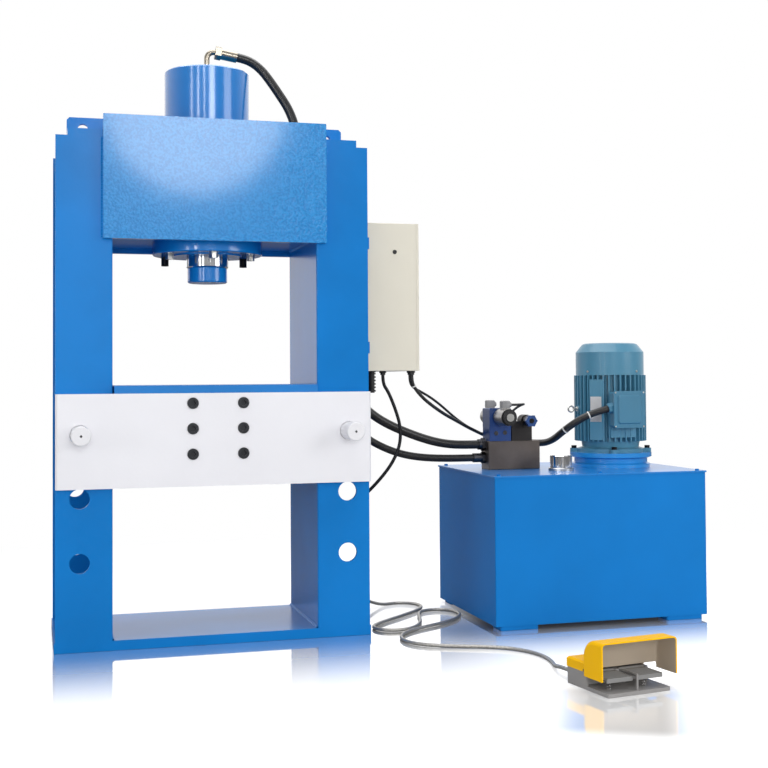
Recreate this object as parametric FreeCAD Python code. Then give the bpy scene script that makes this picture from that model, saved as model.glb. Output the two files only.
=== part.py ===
import FreeCAD, Part
import math
import os

# Two-column hydraulic workshop press with a pinned bed, a wall cabinet on the right
# column, a power pack on the floor beside it and a double foot switch on a lead.
# Millimetres. Origin on the floor under the ram axis, X right, Y back, Z up.

os.makedirs("parts", exist_ok=True)

V = FreeCAD.Vector
X_AXIS = V(1, 0, 0)
Y_AXIS = V(0, 1, 0)
Z_AXIS = V(0, 0, 1)

# ---- driving dimensions: frame ----
clear_width = 676.0
column_depth = 466.0
flange_width = 180.0
column_wall = 12.0
column_bend = 5.0
column_top = 1660.0
base_thickness = 32.0
base_overhang = 4.0
hole_diameter = 64.0
hole_first = 282.0
hole_pitch = 206.0
hole_count = 3
pin_hole = 2
hole_offset = 104.0
head_low = 1327.0
head_high = 1731.0
head_overlap = 31.0
head_plate = 25.0
head_floor_rise = 18.0
head_floor = 25.0
cap_thickness = 24.0
cap_reach = 142.0
lug_height = 79.0
lug_thickness = 20.0
lug_hole = 36.0
lug_corner = 9.0
web_slot_height = 240.0
web_slot_width = 150.0
web_slot_drop = 90.0
web_slot_shift = -2.0

# ---- driving dimensions: cylinder and ram ----
barrel_outer = 293.0
barrel_bore = 220.0
barrel_top = 1938.0
barrel_end = 45.0
flange_outer = 380.0
flange_thick = 45.0
bolt_circle = 320.0
bolt_count = 6
bolt_shank = 16.0
bolt_play = 0.5
rod_diameter = 146.0
rod_show = 43.0
gland_length = 68.0
seal_depth = 12.0
piston_length = 90.0
piston_top_gap = 53.0
running_clearance = 0.08
ram_head_diameter = 138.0
ram_head_height = 52.0
spigot_diameter = 60.0
spigot_length = 30.0
port_rise = 125.0
port_side = 40.0

# ---- driving dimensions: bed ----
bed_low = 521.0
bed_high = 825.0
bed_plate = 30.0
bed_end_chamfer = 6.0
table_thickness = 26.0
table_side_gap = 4.0
table_edge_set = 2.0
spacer_offset = 83.0
spacer_thickness = 60.0
spacer_drop = 20.0
screw_top = 792.0
screw_pitch = 83.0
screw_rows = 3
screw_head = 36.0
screw_head_height = 20.0
screw_shank = 24.0
screw_depth = 40.0
pin_diameter = 62.0
pin_front = 95.0
pin_back = 27.0
pin_chamfer = 3.0

# ---- driving dimensions: cabinet ----
cabinet_low = 895.0
cabinet_height = 518.0
cabinet_deep = 206.0
cabinet_wide = 380.0
cabinet_front = 75.0
cabinet_sheet = 2.0
cabinet_lip = 14.0
door_thick = 10.0
door_gap = 0.6
door_return = 16.0
rail_width = 40.0
rail_thick = 6.0
rail_inset = 60.0
hinge_radius = 6.0
hinge_length = 50.0
lock_radius = 13.0
plug_diameter = 15.0

# ---- driving dimensions: tank and pump ----
tank_left = 942.0
tank_front = -317.0
tank_margin = 211.0
tank_deep = 617.0
tank_wall = 4.0
tank_top = 530.0
lid_thick = 6.0
lid_overhang = 4.0
foot_height = 15.0
foot_long = 140.0
foot_deep = 80.0
foot_inset = 18.0
lid_screw = 8.0
lid_screw_inset = 22.0
filler_spacing = 117.0
filler_y = -130.0
filler_diameter = 80.0
filler_height = 46.0
neck_diameter = 92.0
neck_height = 10.0
neck_bore = 48.0

# ---- driving dimensions: valve stack ----
block_left = 1031.0
block_right = 1233.0
block_front = -20.0
block_deep = 80.0
block_height = 105.0
valve_left = 1036.0
valve_width = 85.0
sandwich_height = 51.0
valve_height = 70.0
valve_set = 3.0
coil_radius = 30.5
coil_front_length = 104.0
coil_rear_length = 76.0
coil_rise = 38.0
relief_left = 1124.0
relief_width = 80.0
relief_base = 30.0
relief_height = 42.0
relief_axis_shift = 61.0
cartridge_radius = 18.0
knob_radius = 23.0
knob_depth = 19.0
knob_lobes = 6

# ---- driving dimensions: motor ----
motor_x = 1540.0
motor_y = 20.0
ring_radius = 153.0
ring_height = 55.0
ring_wall = 34.0
shield_height = 43.0
body_height = 248.0
core_radius = 110.0
fin_radius = 135.0
flange_radius = 126.0
flange_height = 14.0
ear_circle = 138.0
ear_radius = 15.0
ear_angle = 70.0
ear_bolt = 12.0
eye_rise = 121.0
eye_reach = 27.0
eye_ring = 11.0
eye_wire = 3.2
rotor_air_gap = 0.8
fin_width = 5.0
fin_count = 40
fan_cover_radius = 128.0
fan_cover_height = 121.0
fan_cover_wall = 3.0
shaft_radius = 19.0
rotor_radius = 70.0
fan_radius = 118.0
fan_blades = 7
box_width = 118.0
box_height = 130.0
box_deep = 56.0
box_low = 684.0
box_shift = -9.0

# ---- driving dimensions: foot switch ----
pedal_x = 912.0
pedal_y = -1252.0
pedal_turn = 9.0
pedal_width = 207.0
pedal_deep = 206.0
pedal_sole = 10.0
pedal_block_height = 47.0
pedal_block_front = 122.0
guard_top = 142.0
guard_low = 38.0
guard_front = 22.0
guard_rear = 118.0
guard_left = -6.0
guard_right = 246.0
guard_wall = 4.0
guard_rear_top = 75.0
guard_round = 52.0
treadle_width = 84.0
treadle_gap = 16.0
treadle_front = 22.0
treadle_thick = 4.0
treadle_front_height = 42.0
pivot_height = 42.0
pivot_radius = 4.0
divider_height = 54.0
divider_reach = 52.0
divider_thick = 4.0
spring_radius = 6.0
spring_wire = 1.8
spring_turns = 4

# ---- driving dimensions: hoses and leads ----
hose_top_diameter = 32.0
hose_rod_diameter = 27.0
lead_power_diameter = 12.0
lead_valve_diameter = 9.0
conduit_diameter = 26.0
lead_pedal_diameter = 12.0
sleeve_wall = 3.5
top_sleeve = 56.0
top_nut = 21.0
block_nut = 14.0

# ---- places worked out from the driving dimensions ----
half_clear = clear_width / 2
half_depth = column_depth / 2
outer_x = half_clear + flange_width
head_underside = head_low + head_floor_rise
port_height = head_underside + port_rise
web_slot_low = port_height - web_slot_drop
flange_bottom = head_underside - flange_thick
front_face = -half_depth - bed_plate
bed_middle_pin = hole_first + pin_hole * hole_pitch
hole_x = half_clear + hole_offset
table_top = bed_high + table_thickness
tank_long = motor_x - tank_left + tank_margin
filler_x = motor_x - ring_radius - filler_spacing
box_left = motor_x + box_shift - box_width / 2
lid_under = tank_top - lid_thick
ring_top = tank_top + ring_height
shield_top = ring_top + shield_height
body_top = shield_top + body_height
cabinet_y = -half_depth + cabinet_front
block_top = tank_top + block_height
sandwich_top = block_top + sandwich_height
valve_top = sandwich_top + valve_height


def box(x0, x1, y0, y1, z0, z1):
    return Part.makeBox(x1 - x0, y1 - y0, z1 - z0, V(x0, y0, z0))


def cylinder(radius, start, axis, length):
    return Part.makeCylinder(radius, length, start, axis)


def ring(outer, inner, start, axis, length):
    return cylinder(outer, start, axis, length).cut(cylinder(inner, start, axis, length))


def face_of(points):
    return Part.Face(Part.makePolygon(points + [points[0]]))


def prism(points, direction):
    return face_of(points).extrude(direction)


def revolved(profile, centre):
    """Turns (radius, height) points about the upright axis through centre."""
    points = [V(centre.x + r, centre.y, z) for r, z in profile]
    return face_of(points).revolve(centre, Z_AXIS, 360)


def hexagon(across, start, axis, length):
    """A hex prism across the flats, along any axis."""
    corner = across / math.sqrt(3)
    angles = [math.radians(60 * i) for i in range(6)]
    points = [V(corner * math.cos(angle), corner * math.sin(angle), 0) for angle in angles]
    solid = prism(points, V(0, 0, length))
    solid.Placement = FreeCAD.Placement(start, FreeCAD.Rotation(Z_AXIS, axis))
    return solid


def chamfered(shape, size, wanted):
    edges = [e for e in shape.Edges if wanted(e)]
    return shape.makeChamfer(size, edges)


def rounded(shape, size, wanted):
    edges = [e for e in shape.Edges if wanted(e)]
    return shape.makeFillet(size, edges)


def runs_along(edge, axis):
    if len(edge.Vertexes) < 2:
        return False
    span = edge.Vertexes[1].Point.sub(edge.Vertexes[0].Point)
    return abs(abs(span.dot(axis)) - span.Length) < 0.001


def group(solids):
    return Part.makeCompound(solids)


def keep(name, shape):
    shape.exportStep("parts/" + name + ".step")
    print(name, round(shape.Volume / 1000.0, 1), "cm3", len(shape.Solids), "solid")
    return shape


def tube_path(points):
    """Straight runs joined by tangent arcs, each as large as its two runs allow."""
    edges = []
    radii = []
    start = points[0]
    for i in range(1, len(points) - 1):
        before = points[i].sub(points[i - 1])
        after = points[i + 1].sub(points[i])
        turn = before.getAngle(after)
        shorter = min(before.Length, after.Length)
        radius = 0.45 * shorter / math.tan(turn / 2)
        radii.append(radius)
        reach = 0.45 * shorter
        arc_start = points[i].sub(V(before).normalize().multiply(reach))
        arc_end = points[i].add(V(after).normalize().multiply(reach))
        bisector = V(after).normalize().sub(V(before).normalize()).normalize()
        centre = points[i].add(bisector.multiply(math.hypot(radius, reach)))
        middle = centre.sub(V(centre.sub(points[i])).normalize().multiply(radius))
        edges.append(Part.LineSegment(start, arc_start).toShape())
        edges.append(Part.Arc(arc_start, middle, arc_end).toShape())
        start = arc_end
    edges.append(Part.LineSegment(start, points[-1]).toShape())
    return Part.Wire(edges), radii


def tube(name, points, diameter):
    """A solid hose or lead of one diameter along the route's runs and arcs."""
    points = [V(*p) for p in points]
    path, radii = tube_path(points)
    section = Part.Wire(Part.Circle(points[0], points[1].sub(points[0]), diameter / 2).toShape())
    solid = path.makePipeShell([section], True, False)
    wanted = math.pi * diameter ** 2 / 4 * path.Length
    print(name, "length", round(path.Length), "least radius", round(min(radii), 1),
          "in diameters", round(min(radii) / diameter, 1), "volume ratio", round(solid.Volume / wanted, 4))
    print("   radii", [round(r) for r in radii])
    return keep(name, solid)


# ---- frame weldment ----
def base_plate():
    reach = outer_x + base_overhang
    plate = box(-reach, reach, -half_depth, half_depth, 0, base_thickness)
    return keep("base_plate", chamfered(plate, 2, lambda e: runs_along(e, Z_AXIS)))


def column(side):
    """A channel folded from plate, open away from the ram, on the base plate."""
    x_web = half_clear
    x_edge = outer_x
    points = [V(x_web, -half_depth, 0), V(x_edge, -half_depth, 0),
              V(x_edge, -half_depth + column_wall, 0), V(x_web + column_wall, -half_depth + column_wall, 0),
              V(x_web + column_wall, half_depth - column_wall, 0), V(x_edge, half_depth - column_wall, 0),
              V(x_edge, half_depth, 0), V(x_web, half_depth, 0)]
    points = [V(side * p.x, p.y, base_thickness) for p in points]
    solid = prism(points, V(0, 0, column_top - base_thickness))
    is_bend = lambda e: runs_along(e, Z_AXIS) and abs(abs(e.Vertexes[0].X) - x_web) < 0.01
    solid = rounded(solid, column_bend, is_bend)
    for row in range(hole_count):
        height = hole_first + row * hole_pitch
        start = V(side * hole_x, -half_depth - 1, height)
        solid = solid.cut(cylinder(hole_diameter / 2, start, Y_AXIS, column_depth + 2))
    if side > 0:
        solid = solid.cut(web_slot())
    return solid


def web_slot():
    """The round-ended slot in the right web that lets both hoses into the column."""
    half = web_slot_width / 2
    low = web_slot_low + half
    high = web_slot_low + web_slot_height - half
    start_x = half_clear - 1
    depth = column_wall + 2
    slot = cylinder(half, V(start_x, web_slot_shift, low), X_AXIS, depth)
    slot = slot.fuse(cylinder(half, V(start_x, web_slot_shift, high), X_AXIS, depth))
    middle = box(start_x, start_x + depth, web_slot_shift - half, web_slot_shift + half, low, high)
    return slot.fuse(middle).removeSplitter()


def head_plate_solid(y0):
    reach = half_clear + head_overlap
    plate = box(-reach, reach, y0, y0 + head_plate, head_low, head_high)
    return chamfered(plate, 2, lambda e: runs_along(e, Y_AXIS))


def head_bottom_plate():
    plate = box(-half_clear, half_clear, -half_depth, half_depth, head_underside, head_underside + head_floor)
    bore = cylinder(barrel_outer / 2 + bolt_play, V(0, 0, head_underside - 1), Z_AXIS, head_floor + 2)
    plate = plate.cut(bore)
    for start in bolt_places(head_underside - 1):
        plate = plate.cut(cylinder(bolt_shank / 2, start, Z_AXIS, head_floor + 2))
    corner = column_bend + 1
    is_corner = lambda e: runs_along(e, Z_AXIS) and abs(abs(e.Vertexes[0].X) - half_clear) < 0.01
    return keep("head_bottom_plate", chamfered(plate, corner, is_corner))


def bolt_places(height):
    step = 360.0 / bolt_count
    places = []
    for i in range(bolt_count):
        angle = math.radians(step * i - 90)
        places.append(V(bolt_circle / 2 * math.cos(angle), bolt_circle / 2 * math.sin(angle), height))
    return places


def column_tops():
    """A cap plate and an upright lifting lug welded on each column."""
    solids = []
    cap_top = column_top + cap_thickness
    for side in (-1, 1):
        x_in = side * half_clear
        x_out = side * (half_clear + cap_reach)
        low, high = min(x_in, x_out), max(x_in, x_out)
        cap = box(low, high, -half_depth + 2, half_depth - 2, column_top, cap_top)
        lug = box(low + 3, high, -lug_thickness / 2, lug_thickness / 2, cap_top, cap_top + lug_height)
        is_top = lambda e: runs_along(e, Y_AXIS) and e.Vertexes[0].Z > cap_top + 1
        lug = chamfered(lug, lug_corner, is_top)
        centre = V(side * (half_clear + 0.6 * cap_reach), -lug_thickness, cap_top + lug_height / 2)
        lug = lug.cut(cylinder(lug_hole / 2, centre, Y_AXIS, 2 * lug_thickness))
        solids.append(cap.fuse(lug).removeSplitter())
    return keep("column_tops", group(solids))


# ---- cylinder ----
def cylinder_barrel():
    """Thick tube with its mounting flange at the foot and a welded end on top."""
    outer = barrel_outer / 2
    inner = barrel_bore / 2
    roof = barrel_top - barrel_end
    profile = [(inner, flange_bottom), (flange_outer / 2 - 3, flange_bottom),
               (flange_outer / 2, flange_bottom + 3), (flange_outer / 2, head_underside),
               (outer, head_underside), (outer, barrel_top - 4), (outer - 4, barrel_top), (0, barrel_top),
               (0, roof), (inner, roof)]
    solid = revolved(profile, V(0, 0, 0))
    for start in bolt_places(flange_bottom - 1):
        solid = solid.cut(cylinder(bolt_shank / 2 + bolt_play, start, Z_AXIS, flange_thick + 2))
    port = cylinder(9, V(inner - 5, port_side, port_height), X_AXIS, outer)
    return keep("cylinder_barrel", solid.cut(port))


def cylinder_gland():
    """Guide bush that closes the foot of the barrel round the rod."""
    inner = rod_diameter / 2 + running_clearance
    outer = barrel_bore / 2 - 0.05
    low = flange_bottom - 4
    profile = [(inner, low), (outer + 9, low), (outer + 9, flange_bottom), (outer, flange_bottom),
               (outer, flange_bottom + gland_length), (inner, flange_bottom + gland_length),
               (inner, flange_bottom + gland_length - seal_depth),
               (inner + 7, flange_bottom + gland_length - seal_depth),
               (inner + 7, flange_bottom + seal_depth), (inner, flange_bottom + seal_depth)]
    return keep("cylinder_gland", revolved(profile, V(0, 0, 0)))


def ram():
    """Chromed rod with its piston, and the painted head on the rod's spigot."""
    rod_low = flange_bottom - rod_show
    piston_top = barrel_top - barrel_end - piston_top_gap
    piston_low = piston_top - piston_length
    rod = rod_diameter / 2
    piston = barrel_bore / 2 - running_clearance
    profile = [(0, rod_low - spigot_length), (spigot_diameter / 2, rod_low - spigot_length),
               (spigot_diameter / 2, rod_low), (rod - 3, rod_low), (rod, rod_low + 3),
               (rod, piston_low), (piston - 4, piston_low), (piston, piston_low + 4),
               (piston, piston_low + 30), (piston - 6, piston_low + 30), (piston - 6, piston_low + 42),
               (piston, piston_low + 42), (piston, piston_top - 4), (piston - 4, piston_top), (0, piston_top)]
    keep("piston_rod", revolved(profile, V(0, 0, 0)))
    socket = spigot_diameter / 2 + 0.1
    low = rod_low - ram_head_height
    reach = ram_head_diameter / 2
    profile = [(0, low), (reach - 4, low), (reach, low + 4), (reach, rod_low - 3), (reach - 3, rod_low),
               (socket, rod_low), (socket, rod_low - spigot_length - 0.5), (0, rod_low - spigot_length - 0.5)]
    keep("ram_head", revolved(profile, V(0, 0, 0)))


def head_bolts():
    """Six bolts through the flange: zinc hex heads in front, black socket heads behind."""
    solids = []
    for i, start in enumerate(bolt_places(flange_bottom)):
        shank = cylinder(bolt_shank / 2, start, Z_AXIS, flange_thick + head_floor)
        washer = cylinder(15, start.sub(V(0, 0, 3)), Z_AXIS, 3)
        if start.y < 0:
            head = hexagon(24, start.sub(V(0, 0, 22)), Z_AXIS, 19)
        else:
            head = cylinder(13, start.sub(V(0, 0, 31)), Z_AXIS, 28)
            head = head.cut(hexagon(14, start.sub(V(0, 0, 32)), Z_AXIS, 11))
        solids.append(shank.fuse(washer).fuse(head).removeSplitter())
    return keep("head_bolts", group(solids))


# ---- bed ----
def bed_plates():
    """The two outer plates that the pins carry, one in front and one behind the columns."""
    for name, y0 in (("bed_front_plate", -half_depth - bed_plate), ("bed_rear_plate", half_depth)):
        plate = box(-outer_x, outer_x, y0, y0 + bed_plate, bed_low, bed_high)
        outside = y0 if y0 < 0 else y0 + bed_plate
        is_end = lambda e: runs_along(e, Z_AXIS) and abs(e.Vertexes[0].Y - outside) < 0.01
        plate = chamfered(plate, bed_end_chamfer, is_end)
        for side in (-1, 1):
            start = V(side * hole_x, y0 - 1, bed_middle_pin)
            plate = plate.cut(cylinder(hole_diameter / 2, start, Y_AXIS, bed_plate + 2))
            for row in range(screw_rows):
                start = V(side * spacer_offset, y0 - 1, screw_top - row * screw_pitch)
                plate = plate.cut(cylinder(screw_shank / 2 + bolt_play, start, Y_AXIS, bed_plate + 2))
                seat_y = y0 - 1 if y0 < 0 else y0 + bed_plate - screw_head_height + 4
                seat = V(start.x, seat_y, start.z)
                plate = plate.cut(cylinder(screw_head / 2 + 1, seat, Y_AXIS, screw_head_height - 3))
        keep(name, plate)


def bed_spacers():
    """Two solid cross members between the bed plates, tapped at both ends."""
    solids = []
    for side in (-1, 1):
        middle = side * spacer_offset
        bar = box(middle - spacer_thickness / 2, middle + spacer_thickness / 2, -half_depth, half_depth,
                  bed_low + spacer_drop, bed_high)
        for row in range(screw_rows):
            height = screw_top - row * screw_pitch
            for start_y in (-half_depth - 1, half_depth - screw_depth - 2):
                start = V(middle, start_y, height)
                bar = bar.cut(cylinder(screw_shank / 2, start, Y_AXIS, screw_depth + 3))
        solids.append(bar)
    return keep("bed_spacers", group(solids))


def table_plate():
    """The thick plate that the work stands on, lying on the bed between the columns."""
    reach = half_clear - table_side_gap
    edge = half_depth + bed_plate - table_edge_set
    plate = box(-reach, reach, -edge, edge, bed_high, table_top)
    is_top = lambda e: e.Vertexes[0].Z > bed_high + 1 and e.Vertexes[-1].Z > bed_high + 1
    return keep("table_plate", chamfered(plate, 2, is_top))


def bed_screws():
    """Socket screws that clamp the bed plates to the spacers, sunk a little in their seats."""
    solids = []
    for facing in (-1, 1):
        plate_outside = facing * (half_depth + bed_plate)
        seat_y = plate_outside - facing * (screw_head_height - 4)
        for side in (-1, 1):
            for row in range(screw_rows):
                seat = V(side * spacer_offset, seat_y, screw_top - row * screw_pitch)
                head = cylinder(screw_head / 2, seat, V(0, facing, 0), screw_head_height)
                top = seat.add(V(0, facing * (screw_head_height + 1), 0))
                head = head.cut(hexagon(19, top, V(0, -facing, 0), 13))
                reach = bed_plate - screw_head_height + 4 + screw_depth
                shank = cylinder(screw_shank / 2, seat, V(0, -facing, 0), reach)
                solids.append(head.fuse(shank).removeSplitter())
    return keep("bed_screws", group(solids))


def pins():
    """Long round pins through both bed plates and both flanges of each column."""
    start_y = front_face - pin_front
    length = column_depth + 2 * bed_plate + pin_front + pin_back
    for name, side in (("left_pin", -1), ("right_pin", 1)):
        start = V(side * hole_x, start_y, bed_middle_pin)
        pin = cylinder(pin_diameter / 2, start, Y_AXIS, length)
        pin = chamfered(pin, pin_chamfer, lambda e: len(e.Vertexes) == 1)
        dimple = Part.makeCone(4, 0.5, 6, start, Y_AXIS)
        keep(name, pin.cut(dimple))


# ---- cabinet ----
def cabinet_body():
    """Folded steel box, open towards +X, with a lip round its mouth and a gland hole row."""
    x0 = outer_x + rail_thick
    x1 = outer_x + cabinet_deep - door_thick
    y0 = cabinet_y
    y1 = cabinet_y + cabinet_wide
    z0 = cabinet_low
    z1 = cabinet_low + cabinet_height
    s = cabinet_sheet
    body = box(x0, x1, y0, y1, z0, z1)
    body = rounded(body, 3, lambda e: runs_along(e, X_AXIS))
    body = body.cut(box(x0 + s, x1 - s, y0 + s, y1 - s, z0 + s, z1 - s))
    mouth = box(x1 - s - 1, x1 + 1, y0 + cabinet_lip, y1 - cabinet_lip, z0 + cabinet_lip, z1 - cabinet_lip)
    body = body.cut(mouth)
    for place, radius in gland_places():
        body = body.cut(cylinder(radius, V(place.x, place.y, z0 - 1), Z_AXIS, s + 2))
    body = body.cut(cylinder(plug_diameter / 2 - 1.5, V(plug_x(), y0 - 1, plug_z()), Y_AXIS, s + 2))
    return keep("cabinet_body", body)


def plug_x():
    return outer_x + 0.57 * cabinet_deep


def plug_z():
    return cabinet_low + cabinet_height - 101


def gland_places():
    """Lead entries in the cabinet's floor: place and hole radius."""
    return [(V(outer_x + 40, cabinet_y + 36, 0), 11), (V(pedal_lead[0][0], pedal_lead[0][1], 0), 8.5),
            (V(power_lead[0][0], power_lead[0][1], 0), 8.5), (V(valve_lead[0][0], valve_lead[0][1], 0), 6.5)]


def cabinet_door():
    """Dished sheet door on a hinge at its rear edge."""
    x0 = outer_x + cabinet_deep - door_thick + door_gap
    x1 = outer_x + cabinet_deep
    y0 = cabinet_y
    y1 = cabinet_y + cabinet_wide
    z0 = cabinet_low
    z1 = cabinet_low + cabinet_height
    s = cabinet_sheet
    door = box(x0, x1, y0, y1, z0, z1)
    is_front = lambda e: abs(e.Vertexes[0].X - x1) < 0.01 and abs(e.Vertexes[-1].X - x1) < 0.01
    door = rounded(door, 3, is_front)
    door = door.cut(box(x0 - 1, x1 - s, y0 + s, y1 - s, z0 + s, z1 - s))
    lock_y = y0 + 30
    hole = cylinder(lock_radius - 2, V(x1 - s - 1, lock_y, lock_z()), X_AXIS, s + 2)
    door = door.cut(hole)
    for z in hinge_heights():
        knuckle = cylinder(hinge_radius, V(hinge_x(), hinge_y(), z), Z_AXIS, hinge_length / 2 - 0.5)
        leaf = box(hinge_x() - 1.5, x1 - 4, y1, hinge_y(), z, z + hinge_length / 2 - 0.5)
        bore = cylinder(2.5, V(hinge_x(), hinge_y(), z - 1), Z_AXIS, hinge_length)
        door = door.fuse(knuckle.fuse(leaf)).cut(bore)
    return keep("cabinet_door", door.removeSplitter())


def lock_z():
    return cabinet_low + cabinet_height / 2


def hinge_x():
    return outer_x + cabinet_deep - hinge_radius


def hinge_y():
    return cabinet_y + cabinet_wide + hinge_radius + 1


def hinge_heights():
    return (cabinet_low + 60 + hinge_length / 2, cabinet_low + cabinet_height - 60 - hinge_length / 2)


def door_hinges():
    """Fixed halves of the two hinges with their pins."""
    solids = []
    for z in hinge_heights():
        low = z - hinge_length / 2
        knuckle = cylinder(hinge_radius, V(hinge_x(), hinge_y(), low), Z_AXIS, hinge_length / 2 - 0.5)
        leaf = box(hinge_x() - door_thick - 22, hinge_x(), hinge_y() - hinge_radius - 1,
                   hinge_y() - hinge_radius + 2, low, low + hinge_length / 2 - 0.5)
        pin = cylinder(2.5 - running_clearance, V(hinge_x(), hinge_y(), low), Z_AXIS, hinge_length - 1)
        solids.append(knuckle.fuse(leaf).fuse(pin).removeSplitter())
    return keep("door_hinges", group(solids))


def door_lock():
    """Quarter-turn lock: round body in the door, square key post, cam behind."""
    x1 = outer_x + cabinet_deep
    centre = V(x1, cabinet_y + 30, lock_z())
    shaft = cylinder(lock_radius - 2.2, V(x1 - door_return - 8, centre.y, centre.z), X_AXIS, door_return + 8)
    bezel = cylinder(lock_radius, V(x1 + 0.1, centre.y, centre.z), X_AXIS, 5)
    recess = cylinder(lock_radius - 5, V(x1 + 2, centre.y, centre.z), X_AXIS, 4)
    bezel = bezel.cut(recess)
    post = box(x1, x1 + 4.6, centre.y - 4, centre.y + 4, centre.z - 4, centre.z + 4)
    cam_x = x1 - door_return - 8
    cam = box(cam_x - 3, cam_x, centre.y - 26, centre.y + 8, centre.z - 8, centre.z + 8)
    return keep("door_lock", shaft.fuse(bezel).fuse(post).fuse(cam).removeSplitter())


def cabinet_rails():
    """Flat bars across the column's flange edges that carry the cabinet."""
    solids = []
    for z in (cabinet_low + rail_inset, cabinet_low + cabinet_height - rail_inset - rail_width):
        bar = box(outer_x, outer_x + rail_thick, -half_depth + 4, half_depth - 4, z, z + rail_width)
        solids.append(bar)
    return keep("cabinet_rails", group(solids))


def cable_glands():
    """Black compression glands under the cabinet, a bushing stack and the blanking plug."""
    solids = []
    z0 = cabinet_low
    s = cabinet_sheet
    for index, (place, radius) in enumerate(gland_places()):
        if index == 0:
            stack = cylinder(radius - 0.2, V(place.x, place.y, z0 - 76), Z_AXIS, 76 + s + 6)
            for step in range(6):
                collar = cylinder(radius + 4, V(place.x, place.y, z0 - 72 + step * 12), Z_AXIS, 6)
                stack = stack.fuse(collar)
            collar = cylinder(radius + 4, V(place.x, place.y, z0 - 4), Z_AXIS, 4)
            solids.append(stack.fuse(collar).removeSplitter())
            continue
        thread = cylinder(radius - 0.2, V(place.x, place.y, z0 - 1), Z_AXIS, s + 7)
        nut = hexagon(2 * radius + 5, V(place.x, place.y, z0 - 7), Z_AXIS, 7)
        dome = cylinder(radius + 0.5, V(place.x, place.y, z0 - 14), Z_AXIS, 8)
        solids.append(thread.fuse(nut).fuse(dome).removeSplitter())
    plug = cylinder(plug_diameter / 2, V(plug_x(), cabinet_y - 2, plug_z()), Y_AXIS, 2)
    plug = plug.fuse(cylinder(plug_diameter / 2 - 1.7, V(plug_x(), cabinet_y - 1, plug_z()), Y_AXIS, s + 3))
    solids.append(plug.removeSplitter())
    return keep("cable_glands", group(solids))


# ---- tank ----
tank_right = tank_left + tank_long
tank_back = tank_front + tank_deep


def tank_body():
    """Welded sheet tank, open on top, with four foot pads."""
    w = tank_wall
    body = box(tank_left, tank_right, tank_front, tank_back, foot_height, lid_under)
    body = rounded(body, 4, lambda e: runs_along(e, Z_AXIS))
    inside = box(tank_left + w, tank_right - w, tank_front + w, tank_back - w, foot_height + w, lid_under + 1)
    body = body.cut(inside)
    rim = 34
    frame = box(tank_left + w, tank_right - w, tank_front + w, tank_back - w, lid_under - 8, lid_under)
    hollow = box(tank_left + rim, tank_right - rim, tank_front + rim, tank_back - rim, lid_under - 9,
                 lid_under + 1)
    body = body.fuse(frame.cut(hollow))
    for x0 in (tank_left + foot_inset, tank_right - foot_inset - foot_long):
        for y0 in (tank_front + 3, tank_back - 3 - foot_deep):
            pad = box(x0, x0 + foot_long, y0, y0 + foot_deep, 0, foot_height)
            pad = rounded(pad, 8, lambda e: runs_along(e, Z_AXIS))
            body = body.fuse(pad)
    for place in lid_screw_places():
        body = body.cut(cylinder(lid_screw / 2, V(place.x, place.y, lid_under - 9), Z_AXIS, 10))
    return keep("tank_body", body.removeSplitter())


def lid_screw_places():
    places = []
    xs = [tank_left + lid_screw_inset, (tank_left + tank_right) / 2, tank_right - lid_screw_inset]
    for x in xs:
        for y in (tank_front + lid_screw_inset, tank_back - lid_screw_inset):
            places.append(V(x, y, 0))
    return places


def tank_lid():
    o = lid_overhang
    lid = box(tank_left - o, tank_right + o, tank_front - o, tank_back + o, lid_under, tank_top)
    lid = rounded(lid, 5, lambda e: runs_along(e, Z_AXIS))
    lid = chamfered(lid, 1, lambda e: e.Vertexes[0].Z > lid_under + 1 and e.Vertexes[-1].Z > lid_under + 1)
    lid = lid.cut(cylinder(ring_radius - ring_wall, V(motor_x, motor_y, lid_under - 1), Z_AXIS,
                           lid_thick + 2))
    lid = lid.cut(cylinder(neck_bore / 2, V(filler_x, filler_y, lid_under - 1), Z_AXIS, lid_thick + 2))
    for place in lid_screw_places():
        lid = lid.cut(cylinder(lid_screw / 2 + bolt_play, V(place.x, place.y, lid_under - 1), Z_AXIS,
                               lid_thick + 2))
    return keep("tank_lid", lid)


def lid_screws():
    solids = []
    for place in lid_screw_places():
        shank = cylinder(lid_screw / 2, V(place.x, place.y, lid_under - 9), Z_AXIS, lid_thick + 9)
        head = cylinder(7, V(place.x, place.y, tank_top), Z_AXIS, 5)
        head = head.cut(hexagon(6, V(place.x, place.y, tank_top + 2), Z_AXIS, 4))
        solids.append(shank.fuse(head).removeSplitter())
    return keep("lid_screws", group(solids))


def filler():
    """Filler neck flange on the lid with its knurled breather cap."""
    centre = V(filler_x, filler_y, 0)
    neck = [(neck_bore / 2 - 8, lid_under - 40), (neck_bore / 2 - 0.5, lid_under - 40),
            (neck_bore / 2 - 0.5, tank_top), (neck_diameter / 2, tank_top),
            (neck_diameter / 2, tank_top + neck_height - 2), (neck_diameter / 2 - 2, tank_top + neck_height),
            (30, tank_top + neck_height), (30, tank_top + neck_height + 12),
            (neck_bore / 2 - 8, tank_top + neck_height + 12)]
    keep("filler_neck", revolved(neck, centre))
    low = tank_top + neck_height + 0.5
    top = tank_top + neck_height + filler_height
    outer = filler_diameter / 2
    cap = [(30.4, low), (outer - 2, low), (outer, low + 2), (outer, top - 3), (outer - 3, top), (0, top),
           (0, low + 13), (30.4, low + 13)]
    solid = revolved(cap, centre)
    notches = 16
    for i in range(notches):
        angle = 2 * math.pi * i / notches
        place = V(filler_x + (outer + 1) * math.cos(angle), filler_y + (outer + 1) * math.sin(angle), low + 5)
        solid = solid.cut(cylinder(3, place, Z_AXIS, filler_height - 12))
    keep("filler_cap", solid)


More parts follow.
